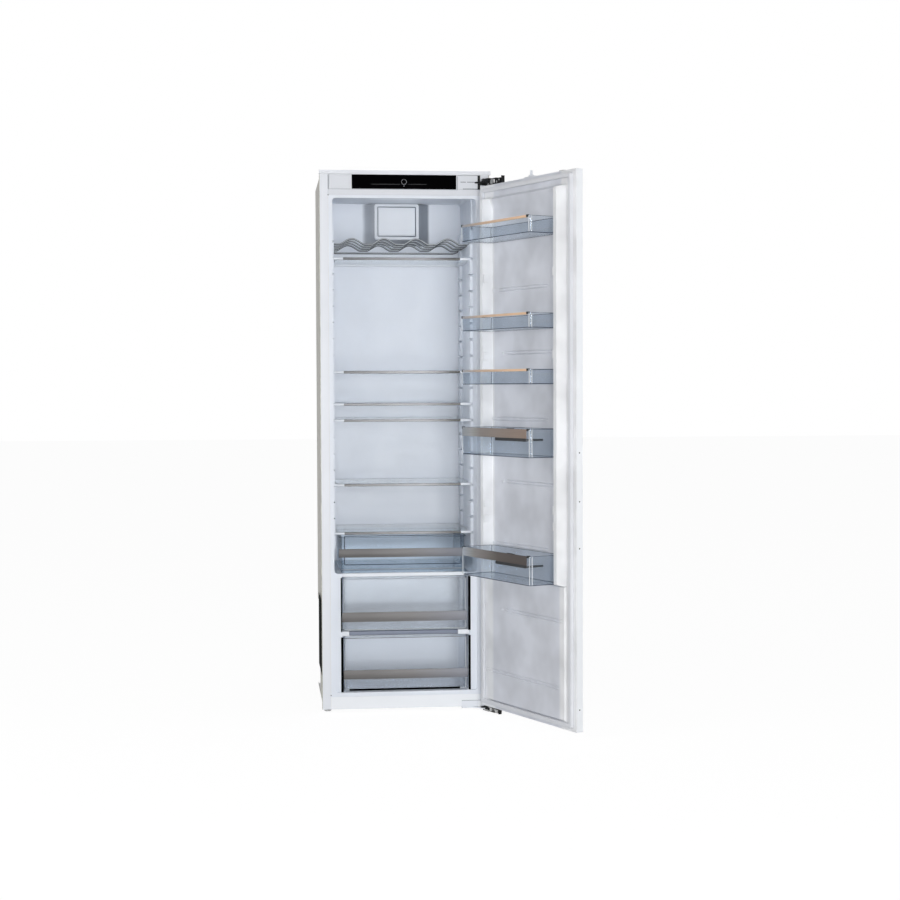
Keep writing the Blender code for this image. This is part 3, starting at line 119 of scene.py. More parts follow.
# Opaque finishes: colour, or its name in the sidebar; roughness; size and height of the grain
# in mm; depth of the mottle; share of metal; clear coat
SATIN = {
    # Baked polyester coat: a soft even sheen with a faint orange peel
    "powder_coated_steel": ("coat", 0.38, 3, 0.05, 0.02),
    # The same coat on the frame round the opening, painted a shade greyer than the door's as shade for the
    # dimmer light that reaches it
    "frame_coat": ("frame", 0.38, 3, 0.05, 0.02),
    # Injection-moulded ABS of the fascia, matched to the frame's coat: a shade darker than the other
    # mouldings, as painted shade for the dimmer light at the top
    "fascia_abs": ("#D6D9DF", 0.42, 2, 0.04, 0.02),
    # Injection-moulded ABS: satin, slightly warmer than the coat
    "moulded_abs": ("#E5E9EF", 0.42, 2, 0.04, 0.02),
    # The narrow gap between two mouldings, grey because light still reaches into it
    "seam_shadow": ("#A3A8B0", 0.6, 4, 0.02, 0.1),
    # The groove round the housing's panel, deeper in shade to the right
    "groove_shadow": ("#8D939C", 0.6, 4, 0.02, 0.1),
    # Slots that little light reaches: a flat blue-grey
    "slot_shadow": ("#4A5666", 0.6, 4, 0.02, 0.2),
    # Vacuum-formed sheet: smooth, with slow waves that bend its reflections
    "formed_polystyrene": ("liner", 0.55, 60, 0.25, 0.03),
    # The liner's sheet beside the fan housing, with painted shade of its own hollow: darkest next to the
    # housing, and deeper at its right
    "duct_sheet": ("liner", 0.55, 60, 0.25, 0.03),
    # The liner's sheet behind drawer 2, with painted shade, greyer towards the plate above it, and painted
    # light, paler than the liner near its foot
    "step_sheet": ("liner", 0.55, 60, 0.25, 0.03),
    # The door's formed sheet, with painted light: paler on its two ridges, where the lamps catch them, than
    # on the field between
    "formed_door_sheet": ("#E2E5ED", 0.50, 60, 0.25, 0.03),
    # Zinc-coated sheet under a thin clear coat: warm grey with cloudy patches
    "galvanised_side": ("#9F9E96", 0.45, 18, 0.05, 0.16, 0.35),
    # Bright zinc plating: a soft mirror with a cloudy mottle
    "zinc_plated_steel": ("#B4B5B5", 0.32, 6, 0.05, 0.2, 0.9),
    # Enamelled steel: near black, with a thin coat that catches small highlights
    "black_enamel": ("#17181A", 0.35, 4, 0.08, 0.3, 0.0, 0.4),
    # Zinc coat dyed black: nearly no shine but at its worn edges
    "black_zinc": ("#08090B", 0.45, 4, 0.05, 0.3),
    # Drawn copper with a warm brown tarnish in patches
    "copper_pipe": ("#B5714F", 0.35, 5, 0.03, 0.35, 0.8),
    # Flat black without any shine: painted shade for the dark gaps beside and under the drawers
    "black_foam": ("#0B0C0E", 0.95, 2, 0.2, 0.3),
    # A dark matt pad on the lower part of each side sheet, without any shine
    "damping_pad": ("#3C3E3E", 0.95, 2, 0.2, 0.3),
    # Black moulded plastic: satin, with soft grey highlights along its edges
    "black_moulded": ("#1B1D21", 0.40, 2, 0.05, 0.3),
    # Toughened glass printed black behind: deep black under a sharp reflection
    "printed_glass": ("#020203", 0.07, 30, 0.01, 0.1),
    # Pale grey print: matt beside the glass that it lies on
    "printed_mark": ("#9EA1A6", 0.4, 3, 0.01, 0.2),
    # Dark grey print, only just lighter than the glass
    "printed_line": ("#2B2C2F", 0.4, 3, 0.01, 0.2),
    # Darkened chrome of small screw heads: brown-black with a tight glint
    "dark_chrome": ("#2E2A28", 0.25, 8, 0.02, 0.35, 0.5),
    # Polished steel bead, its colour a painted reflection of the pale room: palest right of the middle, and
    # near black at its right end for the dark door
    "polished_strip": ("#7A7775", 0.3, 8, 0.02, 0.3, 0.0),
    # Anodised aluminium: an even blue-grey with fine drawn lines
    "anodised_strip": ("#636B7B", 0.4, 6, 0.02, 0.2, 0.3),
    # Stainless strip brushed lengthways: the scratches stretch the reflections upright, and its colour is a
    # painted reflection, darker at the left and paler to the right
    "brushed_handle": ("steel", 0.5, 1.5, 0.06, 0.16, 0.2),
    # The same strip on the door, its colour a painted reflection: cool grey near the hinge, warmer where it
    # turns away from the pale room
    "brushed_band": ("steel", 0.5, 1.5, 0.06, 0.12, 0.2),
    # The same band lower down, its colour a painted reflection that darkens towards its far end, where it
    # would mirror the dark floor of the room
    "brushed_band_low": ("steel", 0.5, 1.5, 0.06, 0.12, 0.2),
    # Steel strip of the small bins, its colour a painted warm reflection: grey near the hinge, and pale
    # copper that brightens along its length
    "warm_trim": ("trim", 0.34, 1.5, 0.04, 0.1, 0.3),
    # Chromed wire, its colour a painted reflection by the slope of its surface: bright along its flanks,
    # and dark where it would mirror what lies under and over it
    "drawn_wire": ("#B9BBBE", 0.3, 5, 0.02, 0.15),
    # Extruded magnetic seal: matt, soft grey-white
    "soft_pvc": ("#E4E6EB", 0.7, 4, 0.05, 0.06),
    # Rigid polyurethane foam: matt yellow with coarse cells
    "rigid_foam": ("#E2D3A2", 0.9, 5, 0.6, 0.12),
    # Opal lens of the lamp: milky, with an even faint glow
    "opal_lens": ("#D3DAE2", 0.35, 4, 0.02, 0.01),
}

# Finishes drawn out lengthways: share of the grain's scale along X, and whether it turns with the door
DRAWN = {"dark_chrome": (0.05, False), "polished_strip": (0.05, False), "anodised_strip": (0.05, False),
         "brushed_handle": (0.02, False), "brushed_band": (0.02, True), "brushed_band_low": (0.02, True),
         "warm_trim": (0.02, True)}
# Size of the slow patches, and specular level, where they aren't the usual ones
PATCH_SIZE, PATCH_SIZES = 0.12, {"copper_pipe": 0.03}
SPECULAR, SPECULARS = 0.5, {"black_zinc": 0.2, "black_foam": 0.0, "damping_pad": 0.0, "printed_glass": 0.01}

# Clear finishes: tint of what shows through, colour of the surface, its density seen square on,
# roughness, share of metal, and how much a slant adds
CLEAR = {
    # Clear drawer resin, its reflection painted darker towards the top, for the dark underside of the shelf
    # above, and pale towards the floor below
    "clear_polystyrene": ("#F8FBFE", "#DCEBF8", 0.035, 0.22, 0.9, 0.95),
    # The same resin with a faint haze, which scatters some of the light that falls on it
    "pale_polystyrene": ("tint", "#EAF0F9", 0.045, 0.2, 0.9, 0.95),
    # Thin clear wall of a bin: blue-grey only where it is seen aslant
    "clear_bin": ("#F7F9FB", "#CBD6E0", 0.03, 0.08, 0.9, 0.6),
    # Edge of a clear wall: light is caught in it, so it reads as a dark blue line
    "clear_edge": ("#7F93AB", "rim", 0.95, 0.25, 0.0, 0.6),
    # Float glass: nearly unseen from above, a sharp mirror at a flat slant
    "float_glass": ("#FEFFFF", "#EEF3F5", 0.006, 0.03, 0.9, 0.6),
    # Ground edge of the pane: pale green from the length of glass behind it
    "glass_edge": ("#D5E6E2", "#AFC6C4", 0.35, 0.1, 0.9, 0.6),
    # A moulded corner seen along its wall gathers the light into a bright line
    "clear_corner": ("#EEF3F7", "#EDF1F5", 0.60, 0.2, 0.0, 0.6),
}
CASTS_SHADOW = 0.5              # density from which a clear finish keeps its shadow

# Painted shade, light and reflections, as slow fades in place of one colour: direction, places in metres,
# shades.
# The wire has no direction: its shades follow how far its surface looks down (0) or up (1)
FADES = {
    "duct_sheet": (ACROSS, (-0.1105, -0.099, -0.070, 0.087, 0.119, 0.1265),
                   ("#E5EAF2", "#B2B7BF", "#AAAFB7", "#868C95", "#8D939C", "#E5EAF2")),
    "step_sheet": (UP, (0.262, 0.283, 0.296, 0.315, 0.350, 0.385),
                   ("#F6FAFD", "#F2F7FB", "#D2D8E0", "#A8B0BA", "#97A0A9", "#8C959E")),
    "groove_shadow": (ACROSS, (-0.06, 0.0, 0.077), ("#C0C5CD", "#B0B6BF", "#7E8590")),
    "formed_door_sheet": (DOOR_WAY, (0.040, 0.078, 0.090, 0.466, 0.480, 0.553),
                          ("#F7F9FC", "#F7F9FC", "#E4E7EF", "#E4E7EF", "#F8F9FB", "#F8F9FB")),
    "polished_strip": (ACROSS, (-0.195, -0.06, 0.07, 0.125, 0.170),
                       ("#424246", "#66666A", "#88888C", "#626165", "#121011")),
    "brushed_handle": (ACROSS, (-0.12, 0.02, 0.19), ("#656362", "#727070", "#80828A")),
    "brushed_band": (DOOR_WAY, (0.08, 0.14, 0.20, 0.44), ("#A0A6AE", "#B2B2B2", "#968E88", "#9A877A")),
    "brushed_band_low": (DOOR_WAY, (0.08, 0.16, 0.30, 0.42), ("#C2CAD4", "#9E9A97", "#625A55", "#524A46")),
    "warm_trim": (DOOR_WAY, (0.08, 0.22, 0.40), ("#BFC0C4", "#E9C9AC", "#FBD3AC")),
    "drawn_wire": (None, (0.0, 0.28, 0.43, 0.72, 0.86, 1.0),
                   ("#08090B", "#101316", "#A4AAB0", "#DDE1E4", "#1D2228", "#0E1114")),
    "clear_polystyrene": (UP, (0.445, 0.465, 0.485, 0.500, 0.530, 0.545),
                          ("#DCEBF8", "#C4D1DC", "#C9D7E3", "#B0BCC7", "#98A3AC", "#8A949D")),
}


def linear(text):
    """Linear colour of an sRGB hex value."""
    shares = [int(text[i:i + 2], 16) / 255 for i in (1, 3, 5)]
    return tuple(c / 12.92 if c <= 0.04045 else ((c + 0.055) / 1.055) ** 2.4 for c in shares)


def length(name, description, value):
    """A length in millimetres that a user can change."""
    return FloatProperty(name=name, description=description, default=value * MM, unit="LENGTH")


def colour(name, description, text):
    """A colour that a user can change."""
    return FloatVectorProperty(name=name, description=description, subtype="COLOR", size=3,
                               default=linear(text))


class FridgeSizes(bpy.types.PropertyGroup):
    """Sizes of the dressed pieces."""
    edge: length("Edge radius", "Radius of moulded and folded edges", 1.2)
    bead: length("Edge bead", "Radius of the dark line at a clear edge", 0.9)
    wall: length("Clear wall", "Wall of the trays and bins", 2.5)
    wire: length("Wire radius", "Radius of the bottle rack's wire", 3.0)
    emboss: length("Emboss height", "Height of the lines in the door's liner", 3.8)
    glow: FloatProperty(name="Lamp glow", description="Strength of the ceiling lamp", default=0.12)


class FridgeColours(bpy.types.PropertyGroup):
    """Base colours of the finishes."""
    coat: colour("Coat", "Powder coat of the front and door", "#EEF1F5")
    liner: colour("Liner", "Vacuum-formed liner of cabinet and door", "#E5EAF2")
    tint: colour("Clear tint", "Tint of the clear trays and bins", "#FCFDFE")
    rim: colour("Clear edge", "Edges of the clear trays and bins", "#2A3A52")
    steel: colour("Brushed steel", "Handles and bands", "#A39A93")
    # The frame's colour is the white coat with painted shade: a shade greyer for the dimmer light on those
    # parts
    frame: colour("Frame", "Front returns, trim and fascia", "#E1E4EA")
    # The warmth of the bin trim is a painted reflection
    trim: colour("Bin trim", "Warm steel strips on the small bins", "#DDB08C")


def sizes():
    """The sizes a user can change."""
    return bpy.context.scene.fridge_sizes


def add(tree, kind, links=None, **settings):
    """Adds one node with its settings, and sets or links its inputs by name or number."""
    made = tree.nodes.new(kind)
    for name, value in settings.items():
        setattr(made, name, value)
    for name, value in (links or {}).items():
        if isinstance(value, bpy.types.NodeSocket):
            tree.links.new(value, made.inputs[name])
        else:
            made.inputs[name].default_value = value
    return made


def compute(tree, operation, *values, clamp=False):
    """One operation on numbers or sockets."""
    return add(tree, "ShaderNodeMath", dict(enumerate(values)),
               operation=operation, use_clamp=clamp).outputs[0]


def remap(tree, value, low, high, first=0.0, last=1.0):
    """Maps a value from one range to another."""
    return add(tree, "ShaderNodeMapRange", {"Value": value, "From Min": low, "From Max": high,
                                            "To Min": first, "To Max": last}).outputs["Result"]


def blend(tree, share, near, far):
    """A colour between two others."""
    return add(tree, "ShaderNodeMix", {"Factor": share, 6: near, 7: far}, data_type="RGBA").outputs[2]


def put_out(tree, share, near, far):
    """Two shaders by a share, as the surface."""
    mix = add(tree, "ShaderNodeMixShader", {0: share, 1: near.outputs[0], 2: far.outputs[0]})
    add(tree, "ShaderNodeOutputMaterial", {"Surface": mix.outputs[0]})


def object_place(tree):
    """Where a point lies on the object."""
    return add(tree, "ShaderNodeTexCoord").outputs["Object"]


def seen(tree):
    """1 where the camera looks, also by way of metal and glass."""
    light = add(tree, "ShaderNodeLightPath").outputs
    share = compute(tree, "MAXIMUM", light["Is Camera Ray"], light["Is Glossy Ray"])
    return compute(tree, "MAXIMUM", share, light["Is Transmission Ray"])


def blank(name):
    """An empty material and its node tree."""
    material = bpy.data.materials.new(name)
    material.use_nodes = True
    material.node_tree.nodes.clear()
    return material, material.node_tree


def grain(tree, size, drawn=1, turn=0.0, detail=3.0):
    """Noise of a real size in metres, drawn out by a share along X after a turn about Z."""
    around = add(tree, "ShaderNodeMapping", {"Vector": object_place(tree), "Rotation": (0, 0, turn)})
    along = add(tree, "ShaderNodeMapping", {"Vector": around.outputs[0], "Scale": (drawn, 1, 1)})
    return add(tree, "ShaderNodeTexNoise",
               {"Vector": along.outputs[0], "Scale": 1 / size, "Detail": detail}).outputs["Fac"]


def spread(tree, noise, low, high):
    """Maps the middle of a noise to two values."""
    return remap(tree, noise, 0.35, 0.65, low, high)


def tone(tree, noise, hue, depth):
    """The colour, darker by a share where the noise is low."""
    dark = tuple(c * (1 - depth) for c in hue)
    return blend(tree, spread(tree, noise, 0.0, 1.0), (*dark, 1), (*hue, 1))


def satin(name, hue, roughness, size, bump, mottle, metallic=0.0, coat=0.0):
    """An opaque finish: its grain drives bump and roughness, and slow patches its colour."""
    material, tree = blank(name)
    drawn, with_door = DRAWN.get(name, (1, False))
    turn = -math.atan2(ALONG[1], ALONG[0]) if with_door else 0.0
    fine = grain(tree, size * MM, drawn, turn)
    slow = fine if name in DRAWN else grain(tree, PATCH_SIZES.get(name, PATCH_SIZE), detail=2.0)
    bumps = add(tree, "ShaderNodeBump", {"Strength": 0.6, "Distance": bump * MM, "Height": fine})
    body = add(tree, "ShaderNodeBsdfPrincipled", {
        "Base Color": tone(tree, slow, hue, mottle), "Metallic": metallic,
        "Roughness": spread(tree, fine, roughness * 0.85, roughness * 1.15),
        "Specular IOR Level": SPECULARS.get(name, SPECULAR), "Normal": bumps.outputs[0],
        "Coat Weight": coat, "Coat Roughness": 0.08,
    })
    add(tree, "ShaderNodeOutputMaterial", {"Surface": body.outputs[0]})
    return material


def clear(name, tint, hue, density, roughness, metallic, slant):
    """A clear wall: it lets tinted light through, and mirrors by the fourth power of its slant."""
    material, tree = blank(name)
    facing = add(tree, "ShaderNodeLayerWeight", {"Blend": 0.5}).outputs["Facing"]
    body = add(tree, "ShaderNodeBsdfPrincipled", {
        "Base Color": tone(tree, grain(tree, 0.05, detail=2.0), hue, 0.06),
        "Roughness": roughness, "Metallic": metallic})
    through = add(tree, "ShaderNodeBsdfTransparent", {"Color": (*tint, 1)})
    mirror = compute(tree, "POWER", facing, 4.0)
    put_out(tree, compute(tree, "MULTIPLY_ADD", mirror, slant, density, clamp=True), through, body)
    return material


def fade(material, way, places, shades):
    """Puts a row of colours in the place of the material's own, and keeps its grain: this is how shade,
    light and reflections are painted.
    """
    tree = material.node_tree
    if way is None:
        facing = add(tree, "ShaderNodeNewGeometry").outputs["Normal"]
        value = add(tree, "ShaderNodeSeparateXYZ", {0: facing}).outputs["Z"]
        share = remap(tree, value, -1.0, 1.0)
    else:
        value = add(tree, "ShaderNodeVectorMath", {0: object_place(tree), 1: way},
                    operation="DOT_PRODUCT").outputs["Value"]
        offset = float(DOOR_CORNER @ ALONG) if way is DOOR_WAY else 0.0
        share = remap(tree, value, places[0] + offset, places[-1] + offset)
    ramp = add(tree, "ShaderNodeValToRGB", {"Fac": share})
    for _ in places[2:]:
        ramp.color_ramp.elements.new(0.5)
    for element, place, shade in zip(ramp.color_ramp.elements, places, shades):
        element.position = (place - places[0]) / (places[-1] - places[0])
        element.color = (*linear(shade), 1)
    hue = ramp.outputs["Color"]
    worn = tree.nodes["Principled BSDF"].inputs["Base Color"].links[0].from_node
    tree.links.new(hue, worn.inputs[7])
    tree.links.new(blend(tree, 0.18, hue, (0, 0, 0, 1)), worn.inputs[6])


def finish(name):
    """The material of that name, made when it is first asked for."""
    made = bpy.data.materials.get(name)
    if made:
        return made
    colours = bpy.context.scene.fridge_colours

    def known(value):
        if not isinstance(value, str):
            return value
        return linear(value) if value.startswith("#") else tuple(getattr(colours, value))

    if name in CLEAR:
        made = clear(name, *map(known, CLEAR[name]))
    else:
        made = satin(name, *map(known, SATIN[name]))
    if name in FADES:
        fade(made, *FADES[name])
    if name == "opal_lens":
        shader = made.node_tree.nodes["Principled BSDF"]
        shader.inputs["Emission Color"].default_value = (*linear("#F4F8FF"), 1)
        shader.inputs["Emission Strength"].default_value = sizes().glow
    return made


def dress(material, *nodes):
    """Gives CAD nodes whose shape is right their finish."""
    for name in nodes:
        mesh = frame["nodes"][name].data
        mesh.materials.clear()
        mesh.materials.append(finish(material))


def loft(loops, ring=False):
    """Quads between neighbouring loops of points, closed round, with a face over each end."""
    loops = np.asarray(loops, float)
    rows, count, _ = loops.shape
    index = np.arange(rows * count).reshape(rows, count)
    near, far = (index, np.roll(index, -1, 0)) if ring else (index[:-1], index[1:])
    quads = np.stack([near, np.roll(near, -1, 1), np.roll(far, -1, 1), far], -1).reshape(-1, 4)
    faces = quads.tolist()
    if not ring:
        faces += [index[0, ::-1].tolist(), index[-1].tolist()]
    return loops.reshape(-1, 3), faces


def gather(shapes):
    """A list of shapes as one: each one's faces count on from the points before it."""
    if isinstance(shapes, tuple):
        return shapes
    points, faces, count = [], [], 0
    for some, theirs in shapes:
        points.append(some)
        faces += [[corner + count for corner in face] for face in theirs]
        count += len(some)
    return np.vstack(points), faces


def rounded(half_u, half_v, radius, steps=5):
    """A rectangle with a quarter circle round each corner's centre."""
    turn = np.arange(4)[:, None] * math.pi / 2 + np.linspace(0, math.pi / 2, steps)
    signs = np.array(((1, 1), (-1, 1), (-1, -1), (1, -1)))[:, None, :]
    centres = signs * np.array((half_u - radius, half_v - radius))
    return (centres + radius * np.stack([np.cos(turn), np.sin(turn)], -1)).reshape(-1, 2)


def onto(loops, axis):
    """Turns loops written along Z so that they run along another axis."""
    return loops[..., {0: (2, 0, 1), 1: (0, 2, 1), 2: (0, 1, 2)}[axis]]


def stack(centre, rows, axis=2, steps=5):
    """Rounded rectangles along an axis: each row is two half sizes, corner radius and place."""
    loops = np.array([np.column_stack([rounded(u, v, r, steps), np.full(4 * steps, w)])
                      for u, v, r, w in rows])
    loops[..., :2] += centre
    return onto(loops, axis)


def block(low, high, radius, edge, axis=2, steps=5):
    """A block with round corners along one axis and edges that roll over, both in millimetres."""
    low, high = np.array(low, float), np.array(high, float)
    radius, edge = radius * MM, edge * MM
    u, v = [i for i in range(3) if i != axis]
    half = (high - low) / 2
    turn = np.linspace(0, math.pi / 2, 4)
    inset, rise = edge * (1 - np.sin(turn)), edge * (1 - np.cos(turn))
    radii = np.maximum(radius - inset, edge / 4)
    lower = [(half[u] - i, half[v] - i, r, low[axis] + up) for i, r, up in zip(inset, radii, rise)]
    upper = [(a, b, r, high[axis] + low[axis] - w) for a, b, r, w in reversed(lower)]
    middle = (low + high) / 2
    return loft(stack((middle[u], middle[v]), lower + upper, axis, steps))


def strip(ends, heights, face, out, back, radius=0.3, edge=0.1, steps=3):
    """A thin bar on a face that looks along -Y: it stands out of it and reaches back, in mm."""
    return block((ends[0], face - out * MM, heights[0]), (ends[1], face + back * MM, heights[1]),
                 radius, edge, 1, steps)


def tube(path, radius, across, sides=10, closed=False):
    """A round bar: at each point of a path, a circle square to it."""
    path = np.asarray(path, float)
    tangent = np.roll(path, -1, 0) - np.roll(path, 1, 0) if closed else np.gradient(path, axis=0)
    tangent /= np.linalg.norm(tangent, axis=1)[:, None]
    side = np.array(across, float) - (tangent @ np.array(across, float))[:, None] * tangent
    side /= np.linalg.norm(side, axis=1)[:, None]
    lift = np.cross(tangent, side)
    turn = np.linspace(0, 2 * math.pi, sides, endpoint=False)[None, :, None]
    loops = path[:, None] + radius * (np.cos(turn) * side[:, None] + np.sin(turn) * lift[:, None])
    return loft(loops, ring=closed)


def bent(corners, radius, steps=6):
    """A line through corners, each one cut by a parabola that starts a radius before it."""
    corners = np.asarray(corners, float)
    middle = corners[1:-1, None]
    before, after = corners[:-2, None] - middle, corners[2:, None] - middle
    before /= np.linalg.norm(before, axis=-1)[..., None]
    after /= np.linalg.norm(after, axis=-1)[..., None]
    t = np.linspace(0, 1, steps)[None, :, None]
    curve = (1 - t) ** 2 * (middle + radius * before) + 2 * t * (1 - t) * middle
    curve = curve + t ** 2 * (middle + radius * after)
    return np.vstack([corners[:1], curve.reshape(-1, 3), corners[-1:]])


def turned(centre, profile, axis=2, sides=32):
    """A profile turned about an axis: radii, and places from the centre, in millimetres."""
    profile = np.asarray(profile, float) * MM
    turn = np.linspace(0, 2 * math.pi, sides, endpoint=False)
    radius, place = profile[:, 0, None], profile[:, 1, None]
    loops = np.stack([radius * np.cos(turn), radius * np.sin(turn), place + 0 * turn], -1)
    return loft(onto(loops, axis) + np.array(centre))


def threaded(centre, radius, depth, first, last, count):
    """A stud whose thread is a wave of its radius, all in millimetres but the centre."""
    wave = radius + depth * np.cos(np.arange(count) * math.pi)
    return turned(centre, np.column_stack([wave, np.linspace(first, last, count)]), sides=20)


def relief(x, z, face, back):
    """A raised sheet over a flat back: its border drops to the back's level, which one face closes."""
    grid = np.stack(np.broadcast_arrays(x, face, z[:, None]), -1)
    rows, cols, _ = grid.shape
    full = np.pad(grid, ((1, 1), (1, 1), (0, 0)), mode="edge")
    full[[0, -1], :, 1] = back
    full[:, [0, -1], 1] = back
    index = np.arange((rows + 2) * (cols + 2)).reshape(rows + 2, cols + 2)
    quads = np.stack([index[:-1, :-1], index[:-1, 1:], index[1:, 1:], index[1:, :-1]], -1)
    border = np.concatenate([index[0], index[1:, -1], index[-1, -2::-1], index[-2:0:-1, 0]])
    return full.reshape(-1, 3), quads.reshape(-1, 4).tolist() + [border[::-1].tolist()]


def outline_bead(centre, half, radius, place, thickness, axis=2):
    """A bar round a rounded rectangle."""
    path = stack(centre, [(half[0], half[1], radius, place)], axis, steps=6)[0]
    return tube(path, thickness, np.eye(3)[axis], 8, closed=True)


def tray_shape(centre, half, low, high, draft, radius, lip):
    """A thin-walled box: outer floor, wall that leans out by the draft, lip, and the same inside."""
    wall, edge = sizes().wall, 2 * MM
    u, v = half[0] - lip, half[1] - lip

    def ring(inset, corner, place):
        return u - inset, v - inset, corner, place

    inner = radius - wall / 2
    return loft(stack(centre, [
        ring(draft + edge, radius, low),
        ring(draft + 0.3 * edge, radius, low + 0.3 * edge),
        ring(draft, radius, low + edge),
        ring(0, radius, high - 5 * MM),
        ring(-lip, radius + lip, high - 4.6 * MM),
        ring(-lip, radius + lip, high - 0.6 * MM),
        ring(0.6 * MM - lip, radius + lip, high),
        ring(wall, inner, high),
        ring(draft + wall, inner, low + wall + edge),
        ring(draft + wall + edge, inner, low + wall),
    ]))


def step(x, place, width):
    """0 below a place and 1 above it, along a smooth cubic."""
    t = np.clip((x - place) / width + 0.5, 0, 1)
    return t * t * (3 - 2 * t)


def pad(x, low, high, width):
    """1 between two places, with smooth flanks of a width inside them."""
    return step(x, low + width / 2, width) * (1 - step(x, high - width / 2, width))


def marks(low, high, count, near, reach):
    """Places from low to high, with more of them near each feature."""
    offsets = np.linspace(-reach, reach, 9)
    some = np.concatenate([np.linspace(low, high, count), *(place + offsets for place in near)])
    return np.unique(np.round(np.clip(some, low, high), 5))


def door_span(node):
    """Lowest and highest places of a node of the door: along it, out of it and up."""
    points = np.array([v.co for v in frame["nodes"][node].data.vertices])
    flat = points[:, :2] - DOOR_CORNER
    local = np.column_stack([flat @ ALONG, flat @ INWARD, points[:, 2]])
    return local.min(0), local.max(0)


def piece(name, shape, material, node=None, body="cabinet", angle=35):
    """A piece of the object: its mesh, its finish, the CAD node that it hides and the body that carries it.
    """
    points, faces = gather(shape)
    mesh = bpy.data.meshes.new(name)
    mesh.from_pydata(points.tolist(), [], faces)
    bm = bmesh.new()
    bm.from_mesh(mesh)
    bmesh.ops.dissolve_degenerate(bm, dist=1e-7, edges=bm.edges)
    bmesh.ops.recalc_face_normals(bm, faces=bm.faces)
    bm.to_mesh(mesh)
    bm.free()
    mesh.shade_smooth()
    mesh.set_sharp_from_angle(angle=math.radians(angle))
    mesh.materials.append(finish(material))
    made = bpy.data.objects.new(name, mesh)
    bpy.context.scene.collection.objects.link(made)
    made.visible_shadow = material not in CLEAR or CLEAR[material][2] > CASTS_SHADOW
    flat = made.modifiers.new("flat_faces", "WEIGHTED_NORMAL")
    flat.keep_sharp = True
    flat.weight = 100
    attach(made, body)
    if node:
        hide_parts(node)


def door_piece(name, shape, material, node=None, body="door", angle=35):
    """A piece written along the door, out of its inner face and up, put where the door stands open."""
    points, faces = gather(shape)
    flat = DOOR_CORNER + points[:, :1] * ALONG + points[:, 1:2] * INWARD
    piece(name, (np.column_stack([flat, points[:, 2]]), faces), material, node, body, angle)


class FRIDGE_OT_cabinet(bpy.types.Operator):
    """Dresses the steel shell, liner and insulation, and adds the frame's screws, a rib and a dark pad on
    each side
    """
    bl_idname = "fridge.cabinet"
    bl_label = "Cabinet"

    def execute(self, context):
        dress("powder_coated_steel", "base_tray", "top_panel")
        dress("frame_coat", "top_trim")
        dress("formed_polystyrene", "cabinet_liner")
        dress("rigid_foam", "cabinet_foam", "door_foam")
        dress("zinc_plated_steel", "back_panel")
        self.side_sheets()
        low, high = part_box("cabinet_liner")
        heads = [turned((x, low.y, z), ((1.6, 0), (1.6, -0.3), (0.9, -0.6)), axis=1, sides=12)
                 for z in (1.681, 0.0465) for x in (low.x, high.x)]
        piece("frame_screws", heads, "dark_chrome")
        rib = block((0.2300, -0.154, 1.578), (0.2362, -0.128, 1.690), 2, 1, axis=0)
        piece("liner_rib", rib, "formed_polystyrene")
        covers = [block((left, -0.2485, 0.1120), (right, 0.0100, 0.3560), 3, 0.3, axis=0)
                  for left, right in ((-0.2787, -0.2775), (0.2775, 0.2787))]
        piece("damping_pads", covers, "damping_pad")
        return {"FINISHED"}

    def side_sheets(self):
        """The front return of each side sheet is coated white, and the rest is bare zinc coat."""
        tree = finish("galvanised_side").node_tree
        body = tree.nodes["Principled BSDF"]
        worn = body.inputs["Base Color"].links[0].from_socket
        place = add(tree, "ShaderNodeSeparateXYZ", {0: object_place(tree)}).outputs
        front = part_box("side_panel_left")[0].y
        behind = remap(tree, place["Y"], front + 0.5 * MM, front + 1.5 * MM)
        outside = remap(tree, compute(tree, "ABSOLUTE", place["X"]), *COAT_END)
        bare = compute(tree, "MAXIMUM", behind, outside)
        # The front return takes the frame's colour: the white coat with its painted shade
        coat = (*bpy.context.scene.fridge_colours.frame, 1)
        tree.links.new(blend(tree, bare, coat, worn), body.inputs["Base Color"])
        metal = compute(tree, "MULTIPLY", bare, SATIN["galvanised_side"][5])
        tree.links.new(metal, body.inputs["Metallic"])
        dress("galvanised_side", "side_panel_left", "side_panel_right")


